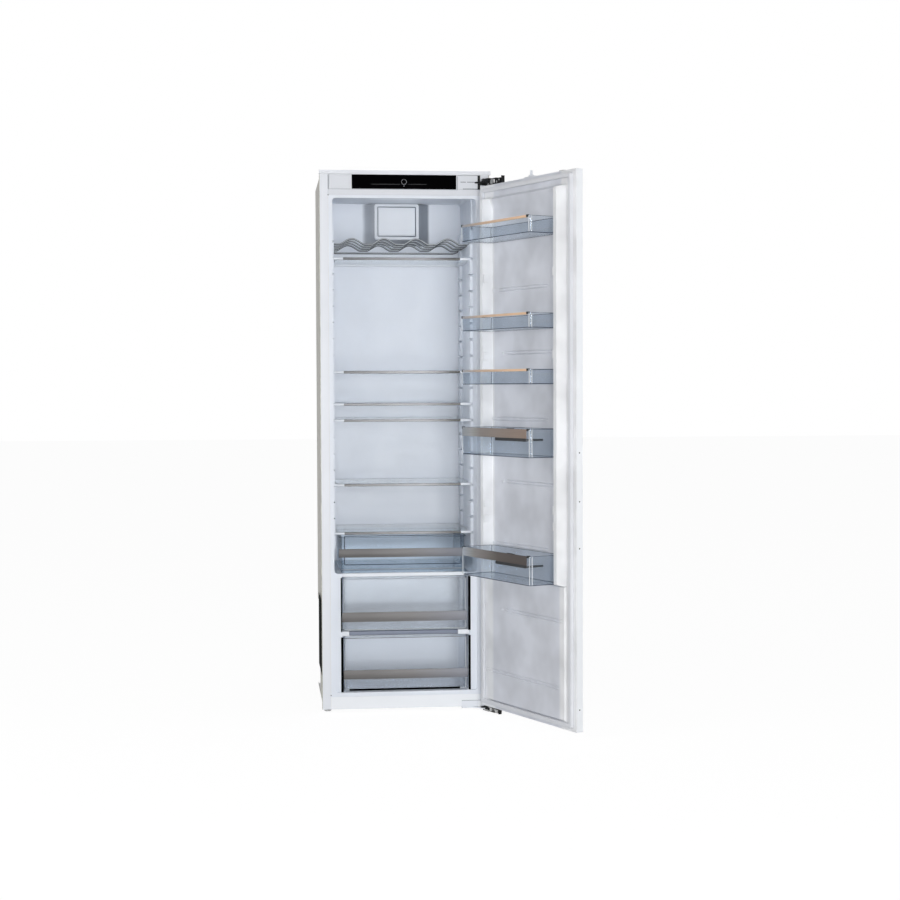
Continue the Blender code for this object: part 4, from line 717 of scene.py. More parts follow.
class FRIDGE_OT_panel(bpy.types.Operator):
    """Builds the black glass with its printed marks, the end cap and the hinge cover"""
    bl_idname = "fridge.panel"
    bl_label = "Control panel"

    def execute(self, context):
        dress("fascia_abs", "control_fascia")
        low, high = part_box("control_glass")
        piece("display_glass", block(low, high, 1.5, 0.5, axis=1), "printed_glass",
              "control_glass")
        self.display(low.y - 0.15 * MM)
        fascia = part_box("control_fascia")[0]
        cap = block((fascia.x + 4.5 * MM, fascia.y - 0.6 * MM, 1.7035),
                    (-0.1795, fascia.y + 3 * MM, 1.7450), 2, 0.6, axis=1)
        piece("fascia_cap", cap, "fascia_abs")
        lid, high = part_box("hinge_cover")
        piece("hinge_lid", block(lid, high, 2, 0.8, axis=1), "fascia_abs", "hinge_cover")
        slots = [strip(ends, (z, z + tall * MM), lid.y, 0.2, 0.5) for ends, z, tall in LID_SLOTS]
        piece("lid_slots", slots, "slot_shadow")
        foot, head = FASCIA_FOOT, FASCIA_HEAD
        seams = [strip((fascia.x - 1.2 * MM, fascia.x + 1.2 * MM), (foot, head), fascia.y, 0.3, 1),
                 strip((fascia.x, lid.x), (foot - 1.2 * MM, foot + 0.4 * MM), fascia.y, 0.3, 1),
                 strip((lid.x - 2.2 * MM, lid.x + 0.6 * MM), (foot, head - 2 * MM), lid.y, 0.4, 1)]
        piece("fascia_seams", seams, "seam_shadow")
        return {"FINISHED"}

    def display(self, front):
        """A ring open at its top over a tick, and a line at each side."""
        turn = np.linspace(0.18, 2 * math.pi - 0.18, 40) + math.pi / 2
        ring = 8.2 * MM * np.column_stack([np.cos(turn), 0 * turn, np.sin(turn)])
        ring += (-1.5 * MM, front, 1.7250)

        def printed(ends, heights):
            return strip(ends, heights, front, 0.1, 0.1, 0.1, 0.05, 2)

        tick = printed((-2.0 * MM, -1.0 * MM), (1.7090, 1.7140))
        piece("display_marks", [tube(ring, 0.55 * MM, (0, 1, 0), 6), tick], "printed_mark")
        lines = [printed((-0.109, -0.014), (1.7165, 1.7175)), printed((0.011, 0.072), (1.7170, 1.7180))]
        piece("display_lines", lines, "printed_line")


class FRIDGE_OT_fan(bpy.types.Operator):
    """Builds the stepped fan housing, its soft duct on the back wall, the fan and the lamp"""
    bl_idname = "fridge.fan"
    bl_label = "Fan and lamp"

    def execute(self, context):
        self.housing()
        self.duct()
        self.rotor()
        low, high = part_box("ceiling_lamp")
        piece("lamp_lens", block(low, high, 6, 2), "opal_lens", "ceiling_lamp")
        dress("black_moulded", "fan_motor")
        return {"FINISHED"}

    def housing(self):
        """Rounded rectangles from the wall forward: a wall, a face, a groove round a raised panel."""
        low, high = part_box("fan_cover")
        centre = ((low.x + high.x) / 2, (low.z + high.z) / 2)
        half_u, half_v = (high.x - low.x) / 2, (high.z - low.z) / 2
        profile = ((0, (high.y - low.y) / MM), (0, 3.5), (0.5, 2.4), (1.5, 2), (9, 2), (9.6, 2.8), (10, 7),
                   (12.8, 7), (13.4, 1), (14.4, 0.3), (15.4, 0))
        rows = [(half_u - inset * MM, half_v - inset * MM, max(8 - inset, 3) * MM, low.y + deep * MM)
                for inset, deep in profile]
        piece("fan_housing", loft(stack(centre, rows, axis=1)), "moulded_abs", "fan_cover")
        groove = outline_bead(centre, (half_u - 11.4 * MM, half_v - 11.4 * MM), 3 * MM, low.y + 3.6 * MM,
                              1.5 * MM, axis=1)
        piece("housing_groove", groove, "groove_shadow")
        louvres = [block((edge - 0.4 * MM, low.y + 8 * MM, z),
                         (edge + 0.4 * MM, high.y - 8 * MM, z + 4 * MM), 1.5, 0.2, axis=0)
                   for edge in (low.x, high.x) for z in np.linspace(1.600, 1.668, 5)]
        piece("fan_louvres", louvres, "black_moulded")

    def duct(self):
        """A swell of the back wall: two smooth flanks across, fading out downwards."""
        low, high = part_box("fan_cover")
        middle, wall = (low.x + high.x) / 2, high.y + 0.2 * MM
        x = np.linspace(middle - 0.119, middle + 0.118, 90)
        z = np.linspace(1.553, 1.6985, 50)
        height = 21 * MM * step(z, 1.575, 0.040)[:, None] * pad(x, x[0], x[-1], 0.040) + 0.4 * MM
        piece("air_duct", relief(x, z, wall - height, wall), "duct_sheet")

    def rotor(self):
        """A hub and seven blades: each blade is a plate turned more at its root than at its tip."""
        low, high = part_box("fan_rotor")
        x, z = (low.x + high.x) / 2, (low.z + high.z) / 2
        reach, root, thick = (high.x - low.x) / 2 - 0.3 * MM, 12.5 * MM, 0.6 * MM
        deep = (high.y - low.y) / MM
        hub = ((9, deep - 0.5), (13.5, deep - 1.5), (13.5, 3), (10, 0.8))
        shapes = [turned((x, low.y, z), hub, axis=1)]
        radius = np.linspace(root, reach, 8)[:, None]
        chord = np.linspace(-0.5, 0.5, 5)[None, :]
        lean = np.radians(42 - 14 * (radius - root) / reach)
        width = 16 * MM + 0.10 * (radius - root)
        place = (low.y + high.y) / 2 + chord * np.minimum(width * np.sin(lean), 11 * MM)
        for blade in range(7):
            angle = blade * 2 * math.pi / 7 + chord * width * np.cos(lean) / radius
            front = np.stack([x + radius * np.cos(angle), place - thick, z + radius * np.sin(angle)], -1)
            rear = front[:, ::-1] + (0, 2 * thick, 0)
            shapes.append(loft(np.concatenate([front, rear], axis=1)))
        piece("fan_wheel", shapes, "black_moulded", "fan_rotor", "impeller")


class FRIDGE_OT_rack(bpy.types.Operator):
    """Bends the bottle rack from chromed wire"""
    bl_idname = "fridge.rack"
    bl_label = "Bottle rack"

    def execute(self, context):
        radius = sizes().wire
        low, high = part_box("bottle_rack")
        half = (high.x - low.x) / 2 - radius
        rail = high.z - radius - 17.1 * MM
        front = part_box("cabinet_liner")[0].y
        x = np.linspace(-half, half, 120)
        # A hump is a sine raised to 1.3 over three quarters of the pitch, and flat between humps
        share = np.mod((x + 0.163) / 0.1076 + 0.5, 1.0)
        hump = np.sin(math.pi * np.clip((share - 0.125) / 0.75, 0, 1)) ** 1.3
        settle = step(np.abs(x), half - 8 * MM, 14 * MM)
        z = (1 - settle) * (rail - 1.5 * MM + 18.6 * MM * hump) + settle * rail
        shapes = [tube(np.column_stack([x, np.full_like(x, front + y), z]), radius, (0, 1, 0))
                  for y in np.linspace(0.170, 0.435, 4)]
        for edge in (-half, half):
            rails = [(edge, front + y, rail + up * MM)
                     for y, up in ((0.131, 9), (0.131, -9), (0.145, -9), (0.155, 0), (0.444, 0))]
            hook = [(edge, front + y, rail + 9 * MM) for y in (0.131, 0.150)]
            shapes += [tube(path, radius, (1, 0, 0)) for path in (bent(rails, 4 * MM), hook)]
        end = high.y - radius
        loop = bent(((-half, end - 2 * MM, rail), (-half + 18 * MM, end, low.z + radius),
                     (half - 18 * MM, end, low.z + radius), (half, end - 2 * MM, rail)), 12 * MM)
        shapes.append(tube(loop, radius, (0, 1, 0)))
        piece("wire_rack", shapes, "drawn_wire", "bottle_rack")
        return {"FINISHED"}


class FRIDGE_OT_shelves(bpy.types.Operator):
    """Builds each glass shelf: pane, metal front strip, white end caps, side rails and rear strip"""
    bl_idname = "fridge.shelves"
    bl_label = "Glass shelves"

    def execute(self, context):
        for number in range(1, 7):
            self.shelf(f"shelf_{number}", sizes().edge / MM)
        return {"FINISHED"}

    def shelf(self, body, edge):
        """The pane lies in two rails with a strip behind, and the front is a bead between end caps."""
        low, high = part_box(f"{body}_frame")
        pane = block(*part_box(f"{body}_glass"), 3, 0.6)
        piece(f"{body}_pane", pane, "float_glass", f"{body}_glass", body)
        bead = block((-SHELF_STRIP, low.y, low.z - 0.8 * MM),
                     (SHELF_STRIP, low.y + 9 * MM, high.z + 0.2 * MM), 1.2, 0.3, axis=0)
        piece(f"{body}_strip", bead, "polished_strip", None, body)
        parts = []
        for side in (-1, 1):
            ends = sorted((side * SHELF_STRIP, side * high.x))
            parts.append(block((ends[0], low.y - 0.5 * MM, low.z - 0.5 * MM),
                               (ends[1], low.y + 28 * MM, high.z + 0.5 * MM), 3, edge, axis=0))
            ends = sorted((side * (high.x - 17 * MM), side * high.x))
            parts.append(block((ends[0], low.y + 20 * MM, low.z), (ends[1], high.y, high.z),
                               2, edge, axis=1))
        parts.append(block((-high.x + 8 * MM, high.y - 17 * MM, low.z), (high.x - 8 * MM, high.y, high.z),
                           2.5, edge, axis=0))
        piece(f"{body}_rails", parts, "moulded_abs", f"{body}_frame", body)
        rim = block((-SHELF_STRIP, low.y + 9.2 * MM, high.z - 3 * MM),
                    (SHELF_STRIP, low.y + 17 * MM, high.z + 0.2 * MM), 1.2, 0.3, axis=0)
        piece(f"{body}_edge", rim, "glass_edge", None, body)


class FRIDGE_OT_drawers(bpy.types.Operator):
    """Builds the clear drawers with their edges and brushed handles, and the plates between them"""
    bl_idname = "fridge.drawers"
    bl_label = "Drawers"

    def execute(self, context):
        for number in range(1, 4):
            self.drawer(number)
            self.handle(number)
        self.cover()
        self.plates()
        self.foam()
        return {"FINISHED"}

    def drawer(self, number):
        """A tray on its runners, and the beads that its edges show."""
        body, first = f"drawer_{number}", number == 1
        low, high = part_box(f"{body}_tray")
        if number == 2:
            low.x, high.x = low.x - 4 * MM, high.x - 1 * MM
        centre = ((low.x + high.x) / 2, (low.y + high.y) / 2)
        half = ((high.x - low.x) / 2, (high.y - low.y) / 2)
        lip, bead = 4 * MM, sizes().bead
        tray = tray_shape(centre, half, low.z, high.z, 2 * MM, 8 * MM, lip)
        piece(f"{body}_box", tray, "clear_polystyrene" if first else "pale_polystyrene",
              f"{body}_tray", body)
        u, v = half[0] - lip, half[1] - lip
        inset, raised, short = (12.5 * MM, 8.5 * MM, 8.5 * MM) if first else (2 * MM, -1 * MM, 4 * MM)
        front = outline_bead((centre[0], (low.z + high.z) / 2 + raised),
                             (u - inset, (high.z - low.z) / 2 - short), 3 * MM, low.y + lip,
                             1.5 * bead, axis=1)
        rim = outline_bead(centre, (half[0] - bead, half[1] - bead), 10 * MM, high.z - 4.6 * MM, 0.7 * bead)
        floor = outline_bead(centre, (u - 2 * MM, v - 2 * MM), 8 * MM, low.z + 1.2 * MM, bead)
        dark, bright = ([rim, front], floor) if first else (rim, [floor, front])
        piece(f"{body}_beads", dark, "clear_edge", None, body)
        piece(f"{body}_corners", bright, "clear_corner", None, body)

    def handle(self, number):
        """A strip whose face swells by a shallow arc and whose edges fold back, carried along X."""
        low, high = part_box(f"drawer_{number}_handle")
        left, right = HANDLE_REACH[number]
        low.x, high.x = low.x - left * MM, high.x + right * MM
        tall, middle = high.z - low.z, (low.z + high.z) / 2
        up = np.linspace(-1, 1, 15)
        outer = np.column_stack([low.y + 1.6 * MM * up ** 2, middle + up * tall / 2])
        fold = np.array(((low.y + 2.2 * MM, high.z - 0.2 * MM), (high.y, high.z - 0.4 * MM),
                         (high.y, high.z - 1.6 * MM), (low.y + 3.2 * MM, high.z - 1.9 * MM)))
        inner = outer[::-1] + (1.4 * MM, 0)
        inner[:, 1] = middle + (inner[:, 1] - middle) * 0.88
        profile = np.vstack([outer, fold, inner])
        ends = (low.x, low.x + 0.5 * MM, high.x - 0.5 * MM, high.x)
        loops = np.stack([np.column_stack([np.full(len(profile), x), profile]) for x in ends])
        loops[[0, -1], :, 1] += 0.4 * MM
        piece(f"drawer_{number}_pull", loft(loops), "brushed_handle",
              f"drawer_{number}_handle", f"drawer_{number}")

    def cover(self):
        """A panel in line with the compressor's step, from its front edge up to the upper plate."""
        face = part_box("drawer_2_tray")[1].y + 5.5 * MM
        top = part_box("divider_upper")[0].z - 1 * MM
        panel = block((-0.2200, face, 0.2600), (0.2200, face + 2 * MM, top), 0.8, 0.4, axis=1)
        piece("step_cover", panel, "step_sheet")

    def plates(self):
        """The glass and plastic plates over the drawers, with their front edges, vents and end caps."""
        edge = sizes().edge / MM
        left, right = PLATE_STRIP
        low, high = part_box("divider_upper")
        plate = block((low.x, low.y + 12 * MM, high.z - 5 * MM), high, 2, 0.6)
        piece("upper_plate", plate, "clear_polystyrene", "divider_upper")
        bar = block(low, (high.x, low.y + 13 * MM, high.z), 2.5, edge, axis=0)
        piece("upper_plate_edge", bar, "moulded_abs")
        vents = [block((x - 8 * MM, low.y + 12 * MM, high.z - 0.5 * MM),
                       (x + 8 * MM, low.y + 17 * MM, high.z + 0.2 * MM), 2, 0.1)
                 for x in np.linspace(-0.16, 0.16, 14)]
        piece("upper_plate_vents", vents, "clear_edge")
        low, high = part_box("divider_lower")
        plate = block((low.x, low.y + 12 * MM, high.z - 6 * MM), high, 2, 0.6)
        piece("lower_plate", plate, "float_glass", "divider_lower")
        bar = block((left, low.y, low.z + 2 * MM), (right, low.y + 13 * MM, high.z), 2.5, edge, axis=0)
        piece("lower_plate_edge", bar, "anodised_strip")
        caps = [block((start, low.y - 0.3 * MM, low.z), (end, low.y + 30 * MM, high.z), 3, edge, axis=0)
                for start, end in ((low.x, left), (right, high.x))]
        piece("lower_plate_caps", caps, "moulded_abs")

    def foam(self):
        """Black strips as painted shade in the gaps beside the lower drawers, and one along drawer 3's
        lower edge for the shade under it.
        """
        strips = []
        for number, left, right in ((2, -0.2110, 0.2058), (3, -0.2068, 0.2068)):
            low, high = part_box(f"drawer_{number}_tray")
            strips += [block((start, -0.2456, low.z - 1 * MM), (end, -0.2425, high.z + 2 * MM), 0.6, 0.3)
                       for start, end in ((-0.2150, left), (right, 0.2140))]
        piece("drawer_gap_strips", strips, "black_foam")
        under_shade = block((-0.187, low.y - 1.5 * MM, 0.0548), (0.180, low.y + 0.5 * MM, 0.0610),
                       0.6, 0.4, axis=0)
        piece("drawer_3_buffer", under_shade, "black_foam", None, "drawer_3")


class FRIDGE_OT_door(bpy.types.Operator):
    """Forms the door's liner with its ridges and embossed lines, its seal, sheet and adjuster"""
    bl_idname = "fridge.door"
    bl_label = "Door"

    def execute(self, context):
        dress("powder_coated_steel", "door_panel")
        self.liner()
        self.bosses()
        self.seal()
        self.adjuster()
        return {"FINISHED"}

    def liner(self):
        """Height over the flange: the higher of two ridges, a lower field, and embossed bars."""
        low, high = door_span("door_liner")
        s = marks(0.0, DOOR_WIDTH, 60,
                  (0.050, 0.073, 0.4785, 0.5015, 0.10, 0.155, 0.40, 0.42, 0.49), 8 * MM)
        z = marks(low[2], high[2], 90, (0.034, 0.446, 1.667, *(bar[0] for bar in EMBOSSED)), 9 * MM)
        up = z[:, None]
        whole = pad(s, *RAISED, 5 * MM)
        ridge = (pad(s, RAISED[0], FLANKS[0], 5 * MM) + pad(s, FLANKS[1], RAISED[1], 5 * MM)) \
            * pad(up, 0.444, 1.669, 12 * MM)
        top = whole * pad(up, 1.645, 1.669, 9 * MM)
        field = pad(s, *RAISED, 6 * MM) * pad(up, 0.032, 0.449, 6 * MM)
        height = np.maximum(np.maximum(35 * MM * ridge, 9 * MM * top), 7 * MM * field)
        for place, first, last, dot in EMBOSSED:
            line = np.exp(-((np.abs(up - place) - 5 * MM) / (1.2 * MM)) ** 2)
            height += sizes().emboss * line * pad(s, first, last, 5 * MM)
            if dot:
                away = ((s - dot) / (5 * MM)) ** 2 + ((up - place) / (5 * MM)) ** 2
                height += 4 * MM * np.exp(-away ** 2)
        door_piece("door_inner_liner", relief(s, z, height, low[1]), "formed_door_sheet",
                   "door_liner")

    def bosses(self):
        """Lugs on the ridges that the bins hook over, and the dots beside the embossed bars."""
        lugs = [block((s, 0.017, z - 13 * MM), (s + 4.5 * MM, 0.034, z + 13 * MM), 2, 1, axis=0)
                for s in (0.0725, 0.4745) for z in (1.4050, 1.1540, 0.6800, 0.6300)]
        door_piece("bin_lugs", lugs, "formed_door_sheet")
        dots = [turned((dot, 0, z), ((4.4, 0), (4.4, 2.6), (3.6, 4.0), (1.6, 4.8)), axis=1, sides=16)
                for z, _, _, dot in EMBOSSED[1:6]]
        door_piece("liner_dots", dots, "moulded_abs")

    def seal(self):
        """A bellows: a soft profile of two folds and a flat face carried round the door."""
        low, high = door_span("door_gasket")
        half, centre = (high - low) / 2, (low + high) / 2
        # How far in from the outside, in mm, and the share of the depth
        profile = ((0.0, 0.04), (0.3, 0.16), (0.0, 0.38), (0.7, 0.58), (0.0, 0.78), (0.3, 0.98),
                   (3.0, 1.0), (9.5, 1.0), (13.0, 0.96), (13.3, 0.70), (10.5, 0.52), (13.3, 0.34),
                   (12.6, 0.10), (7.0, 0.0))
        rows = [(half[0] - inset * MM, half[2] - inset * MM, max(6 - inset, 1) * MM,
                 low[1] + share * (high[1] - low[1])) for inset, share in profile]
        door_piece("door_seal", loft(stack(centre[[0, 2]], rows, axis=1), ring=True), "soft_pvc",
                   "door_gasket", angle=60)

    def adjuster(self):
        """A moulded foot on the door's top edge, and a threaded post that carries the furniture door."""
        low, high = door_span("door_adjuster")
        foot = block(low, (high[0], high[1], low[2] + 3.2 * MM), 2.5, 1)
        centre = ((low[0] + high[0]) / 2, (low[1] + high[1]) / 2, low[2])
        boss = turned(centre, ((9, 2), (9, 6), (7.5, 8)))
        post = threaded(centre, 4.0, 0.35, 3, (high[2] - low[2]) / MM, 25)
        door_piece("adjuster_post", [foot, boss, post], "moulded_abs", "door_adjuster")
        clip = block((0.452, -0.018, low[2] - 0.2 * MM), (0.474, -0.006, low[2] + 4 * MM), 2, 1)
        door_piece("door_clip", clip, "zinc_plated_steel")
        # Black discs at the door's free edge: painted shade in its screw holes
        holes = [turned((DOOR_WIDTH, -0.012, z), ((2.2, -0.5), (2.2, 0.15)), axis=0, sides=16)
                 for z in (0.8565, 0.709, 0.567, 0.077)]
        door_piece("edge_screw_holes", holes, "black_moulded")


class FRIDGE_OT_bins(bpy.types.Operator):
    """Builds the five door bins with ribs, dark edges, strips and brushed bands whose colours are painted
    reflections, warm on the strips, and the holders
    """
    bl_idname = "fridge.bins"
    bl_label = "Door bins"

    def execute(self, context):
        for number in range(1, 6):
            self.bin(number)
        for number, body in ((1, "upper_holder"), (2, "lower_holder")):
            self.holder(number, body)
        return {"FINISHED"}

    def bin(self, number):
        """A tray, ribs round its front corners, beads along its edges, and its metal strip."""
        name, lip, bead = f"bin_{number}", 1 * MM, sizes().bead
        low, high = door_span(name)
        centre, half = (low + high)[:2] / 2, (high - low)[:2] / 2
        tray = tray_shape(centre, half, low[2], high[2], 2 * MM, 12 * MM, lip)
        door_piece(f"{name}_tray", tray, "clear_bin", name)
        beads = [outline_bead(centre, half - lip - 1.5 * MM, 12 * MM, low[2] + 1.2 * MM, 1.3 * bead),
                 outline_bead(centre, half - bead, 13 * MM, high[2] - 0.6 * MM, 0.7 * bead)]
        beads += [tube([(s, 6 * MM, low[2] + 2 * MM), (s, 5 * MM, high[2] - 2 * MM)], bead, (0, 1, 0), 8)
                  for s in (low[0] + 1.5 * MM, high[0] - 1.5 * MM)]
        door_piece(f"{name}_beads", beads, "clear_edge")
        front = high[1]
        ribs = [block((s - 0.9 * MM, front - (back + 3) * MM, low[2] + 2 * MM),
                      (s + 0.9 * MM, front - (back - 0.4) * MM, high[2] - 1 * MM), 0.8, 0.3, 2, 3)
                for s, back in ((high[0] - 4.5 * MM, 2), (high[0] - 0.6 * MM, 9), (low[0] + 4.5 * MM, 2))]
        door_piece(f"{name}_ribs", ribs, "clear_corner")
        ends = (low[0] + 14 * MM, high[0] - 14 * MM)
        if number < 4:
            trim = block((ends[0], front - 5 * MM, high[2] - 6.5 * MM),
                         (ends[1], front + 0.8 * MM, high[2] + 1 * MM), 0.8, 0.4, axis=0)
            door_piece(f"{name}_strip", trim, "warm_trim")
        else:
            steel = "brushed_band" if number == 4 else "brushed_band_low"
            plate = block(*door_span(f"{name}_band"), 1.0, 0.6, axis=0)
            door_piece(f"{name}_plate", plate, steel, f"{name}_band")
        stops = [block((s - 3.6 * MM, front - 8 * MM, high[2] - 5.5 * MM),
                       (s + 3.6 * MM, front + 1 * MM, high[2] + 2 * MM), 1, 0.4, 2, 3)
                 for s in (ends[0] - 3 * MM, ends[1] + 3 * MM)]
        door_piece(f"{name}_stops", stops, "black_moulded")

    def holder(self, number, body):
        """A bar behind the bin's front with a finger that reaches inwards, of one bent strip."""
        low, high = door_span(f"bottle_holder_{number}")
        bar, end, z = high[1] - 2.2 * MM, high[0] - 2.2 * MM, low[2] + 5 * MM
        path = bent(((low[0] + 2 * MM, bar, z), (end, bar, z), (end, low[1] + 2 * MM, z)), 6 * MM)
        profile = rounded(2.0 * MM, 4.8 * MM, 1.2 * MM, 3)
        tangent = np.gradient(path, axis=0)
        tangent /= np.linalg.norm(tangent, axis=1)[:, None]
        side = np.cross(tangent, UP)
        taper = (1 - 0.35 * np.linspace(0, 1, len(path)) ** 3)[:, None, None]
        loops = path[:, None] + taper * (profile[:, :1] * side[:, None] + profile[:, 1:] * np.array(UP))
        left, right = (low[0] + high[0]) / 2 + np.array((-20, 20)) * MM
        clip = block((left, bar - 1 * MM, z), (right, bar + 1.2 * MM, high[2]), 0.8, 0.3)
        hook = block((left, bar - 1 * MM, high[2] - 1.5 * MM), (right, high[1], high[2]), 0.6, 0.3)
        door_piece(f"bottle_stop_{number}", [loft(loops), clip, hook], "black_moulded",
                   f"bottle_holder_{number}", body)


class FRIDGE_OT_hinges(bpy.types.Operator):
    """Dresses the hinges, and builds their brackets of leaves, rollers and pins"""
    bl_idname = "fridge.hinges"
    bl_label = "Hinges"

    def execute(self, context):
        dress("black_zinc", "hinge_arm_top", "hinge_arm_bottom", "hinge_plate_top")
        dress("moulded_abs", "hinge_plate_bottom")
        self.bracket("hinge_bracket_top", 1, 1.0, 0.94, 0.045)
        self.bracket("hinge_bracket_bottom", -1, 0.82, 0.74, 0.054)
        low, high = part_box("hinge_plate_bottom")
        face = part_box("base_tray")[0].y
        # Grey lines along the plate's top and bottom edges: painted shade of the gaps round it, in the
        # anodised strip's finish
        seams = [strip((low.x, 0.246), (z, z + 1.2 * MM), face, 0.3, 1)
                 for z in (low.z - 0.6 * MM, high.z - 0.6 * MM)]
        piece("plate_seams", seams, "anodised_strip")
        return {"FINISHED"}

    def bracket(self, node, up, scale, shrink, small):
        """Leaves, links, rollers and a pin from the door's edge inwards, up or down from its end.

        Places along the door shrink by one share and heights by another; heights are in mm.
        """
        low, high = door_span(node)
        base = low[2] if up > 0 else high[2]
        face, lowest = high[1], CAD_BOX[0].z + 0.1 * MM

        def part(start, end, below, above, narrow=0.0):
            ends = sorted(max(base + up * h * MM * scale, lowest) for h in (below, above))
            return block((start * shrink, low[1] + narrow * MM, ends[0]),
                         (end * shrink, high[1] - narrow * MM, ends[1]), 0.8, 0.3, 2, 3)

        def round_part(place, height, profile):
            centre = (place * shrink, face, base + up * height * MM * scale)
            return turned(centre, profile, axis=1, sides=20)

        leaves = [part(0.001, 0.047, h, h + 3.6, 0.5) for h in (6.0, 11.0, 16.0, 20.6)]
        leaves += [part(*row) for row in (
            (0.006, 0.011, 4, 26, 1.5), (0.036, 0.128, 0, 2.2), (0.040, 0.094, 19, 21.4, 2.5),
            (0.040, 0.094, 4, 6, 2.5), (0.086, 0.124, 2, 19, 1.5), (0.1265, high[0], 0, 25, 3))]
        door_piece(f"{node}_leaves", leaves, "black_zinc", node)
        rollers = []
        for place, height, reach, hole in ((0.068, 10.5, 8.2, 4.6), (small, 3.2, 3.6, 0.6),
                                           (0.1005, 7.5, 3.4, 0.8), (0.117, 12.5, 2.6, 0.8)):
            reach, hole = reach * scale, hole * scale
            ring = ((hole, -5), (reach, -5), (reach, -0.9),
                    (reach - 0.6, -0.4), (hole + 0.5, -0.4), (hole, -0.9))
            rollers.append(round_part(place, height, ring))
        if up < 0:
            rollers += [part(0.104, 0.125, 5, 17, -0.4), part(0.010, 0.050, 16, 20, -0.4)]
        door_piece(f"{node}_rollers", rollers, "zinc_plated_steel")
        pin = round_part(0.068, 10.5, ((0.4, -4), (4.4 * scale, -4), (4.4 * scale, -1.2), (0.4, -1)))
        door_piece(f"{node}_pin", pin, "black_moulded")


class FRIDGE_OT_machinery(bpy.types.Operator):
    """Builds the compressor, the condenser coil and the feet"""
    bl_idname = "fridge.machinery"
    bl_label = "Machinery and feet"

    def execute(self, context):
        self.compressor()
        self.coil()
        for side in ("left", "right"):
            low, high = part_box(f"foot_{side}")
            centre = ((low.x + high.x) / 2, (low.y + high.y) / 2, low.z)
            dome = turned(centre, ((7, 0), (10.5, 0.6), (11.9, 2.4), (11.9, 5), (10.6, 6.6), (4, 7)))
            stud = threaded(centre, 3.7, 0.3, 7, (high.z - low.z) / MM, 30)
            piece(f"{side}_foot_pad", [dome, stud], "zinc_plated_steel", f"foot_{side}",
                  f"{side}_foot")
        return {"FINISHED"}

    def compressor(self):
        """Two deep drawn bowls welded at a flange, on a plate with rubber feet, with its pipes."""
        low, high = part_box("compressor")
        x, y = (low.x + high.x) / 2 - 8 * MM, (low.y + high.y) / 2
        base, reach = low.z + 14 * MM, (high.y - low.y) / 2 - 3 * MM
        # Share of the reach, and height in mm
        profile = ((0.02, 0), (0.50, 1), (0.80, 8), (0.93, 22), (0.97, 44), (0.97, 64), (1.0, 65),
                   (1.0, 69), (0.965, 70), (0.96, 92), (0.91, 112), (0.76, 130), (0.50, 142),
                   (0.22, 147), (0.02, 148))
        shell, faces = turned((0, 0, base), [(share * reach / MM, h) for share, h in profile], sides=48)
        shell = shell * (1.34, 1, 1) + (x, y, 0)
        piece("compressor_shell", (shell, faces), "black_enamel", "compressor")
        mount = [block((low.x, low.y + 18 * MM, low.z + 8 * MM),
                       (high.x, high.y - 18 * MM, low.z + 11 * MM), 8, 0.6),
                 block((high.x - 22 * MM, y - 26 * MM, base + 30 * MM),
                       (high.x, y + 26 * MM, base + 84 * MM), 4, 1.5, axis=0)]
        mount += [turned((foot, depth, low.z), ((7, 0), (8, 1), (6, 8), (6, 12), (2, 14)), sides=20)
                  for foot in (low.x + 14 * MM, high.x - 14 * MM)
                  for depth in (low.y + 32 * MM, high.y - 32 * MM)]
        piece("compressor_mount", mount, "black_moulded")
        root, bend, pipes = x - 70 * MM, low.x + 4 * MM, []
        for offset, height in ((-20.4, 30), (-7.2, 38), (9.6, 26)):
            depth, level = y + offset * MM, base + 60 * MM
            path = ((root, depth, level), (bend, depth, level), (bend, depth, level + height * MM))
            pipes.append(tube(bent(path, 6 * MM), 2.4 * MM, (0, 1, 0)))
        piece("compressor_pipes", pipes, "copper_pipe")

    def coil(self):
        """A serpentine tube between rows of thin upright wires welded to both of its sides."""
        low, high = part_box("condenser_coil")
        radius, wire, y = 1.7 * MM, 0.7 * MM, (low.y + high.y) / 2
        rows = np.linspace(low.z + 30 * MM, high.z - 30 * MM, 22)
        ends = (low.x + radius, high.x - radius)
        corners = [(ends[(i + j) % 2], y, z) for i, z in enumerate(rows) for j in (0, 1)]
        shapes = [tube(bent(corners, 20 * MM, 7), radius, (0, 1, 0))]
        shapes += [tube([(x, depth, low.z), (x, depth, high.z)], wire, (0, 1, 0), 6)
                   for x in np.linspace(low.x + 12 * MM, high.x - 12 * MM, 44)
                   for depth in (low.y + wire, high.y - wire)]
        piece("condenser_wires", shapes, "black_enamel", "condenser_coil")


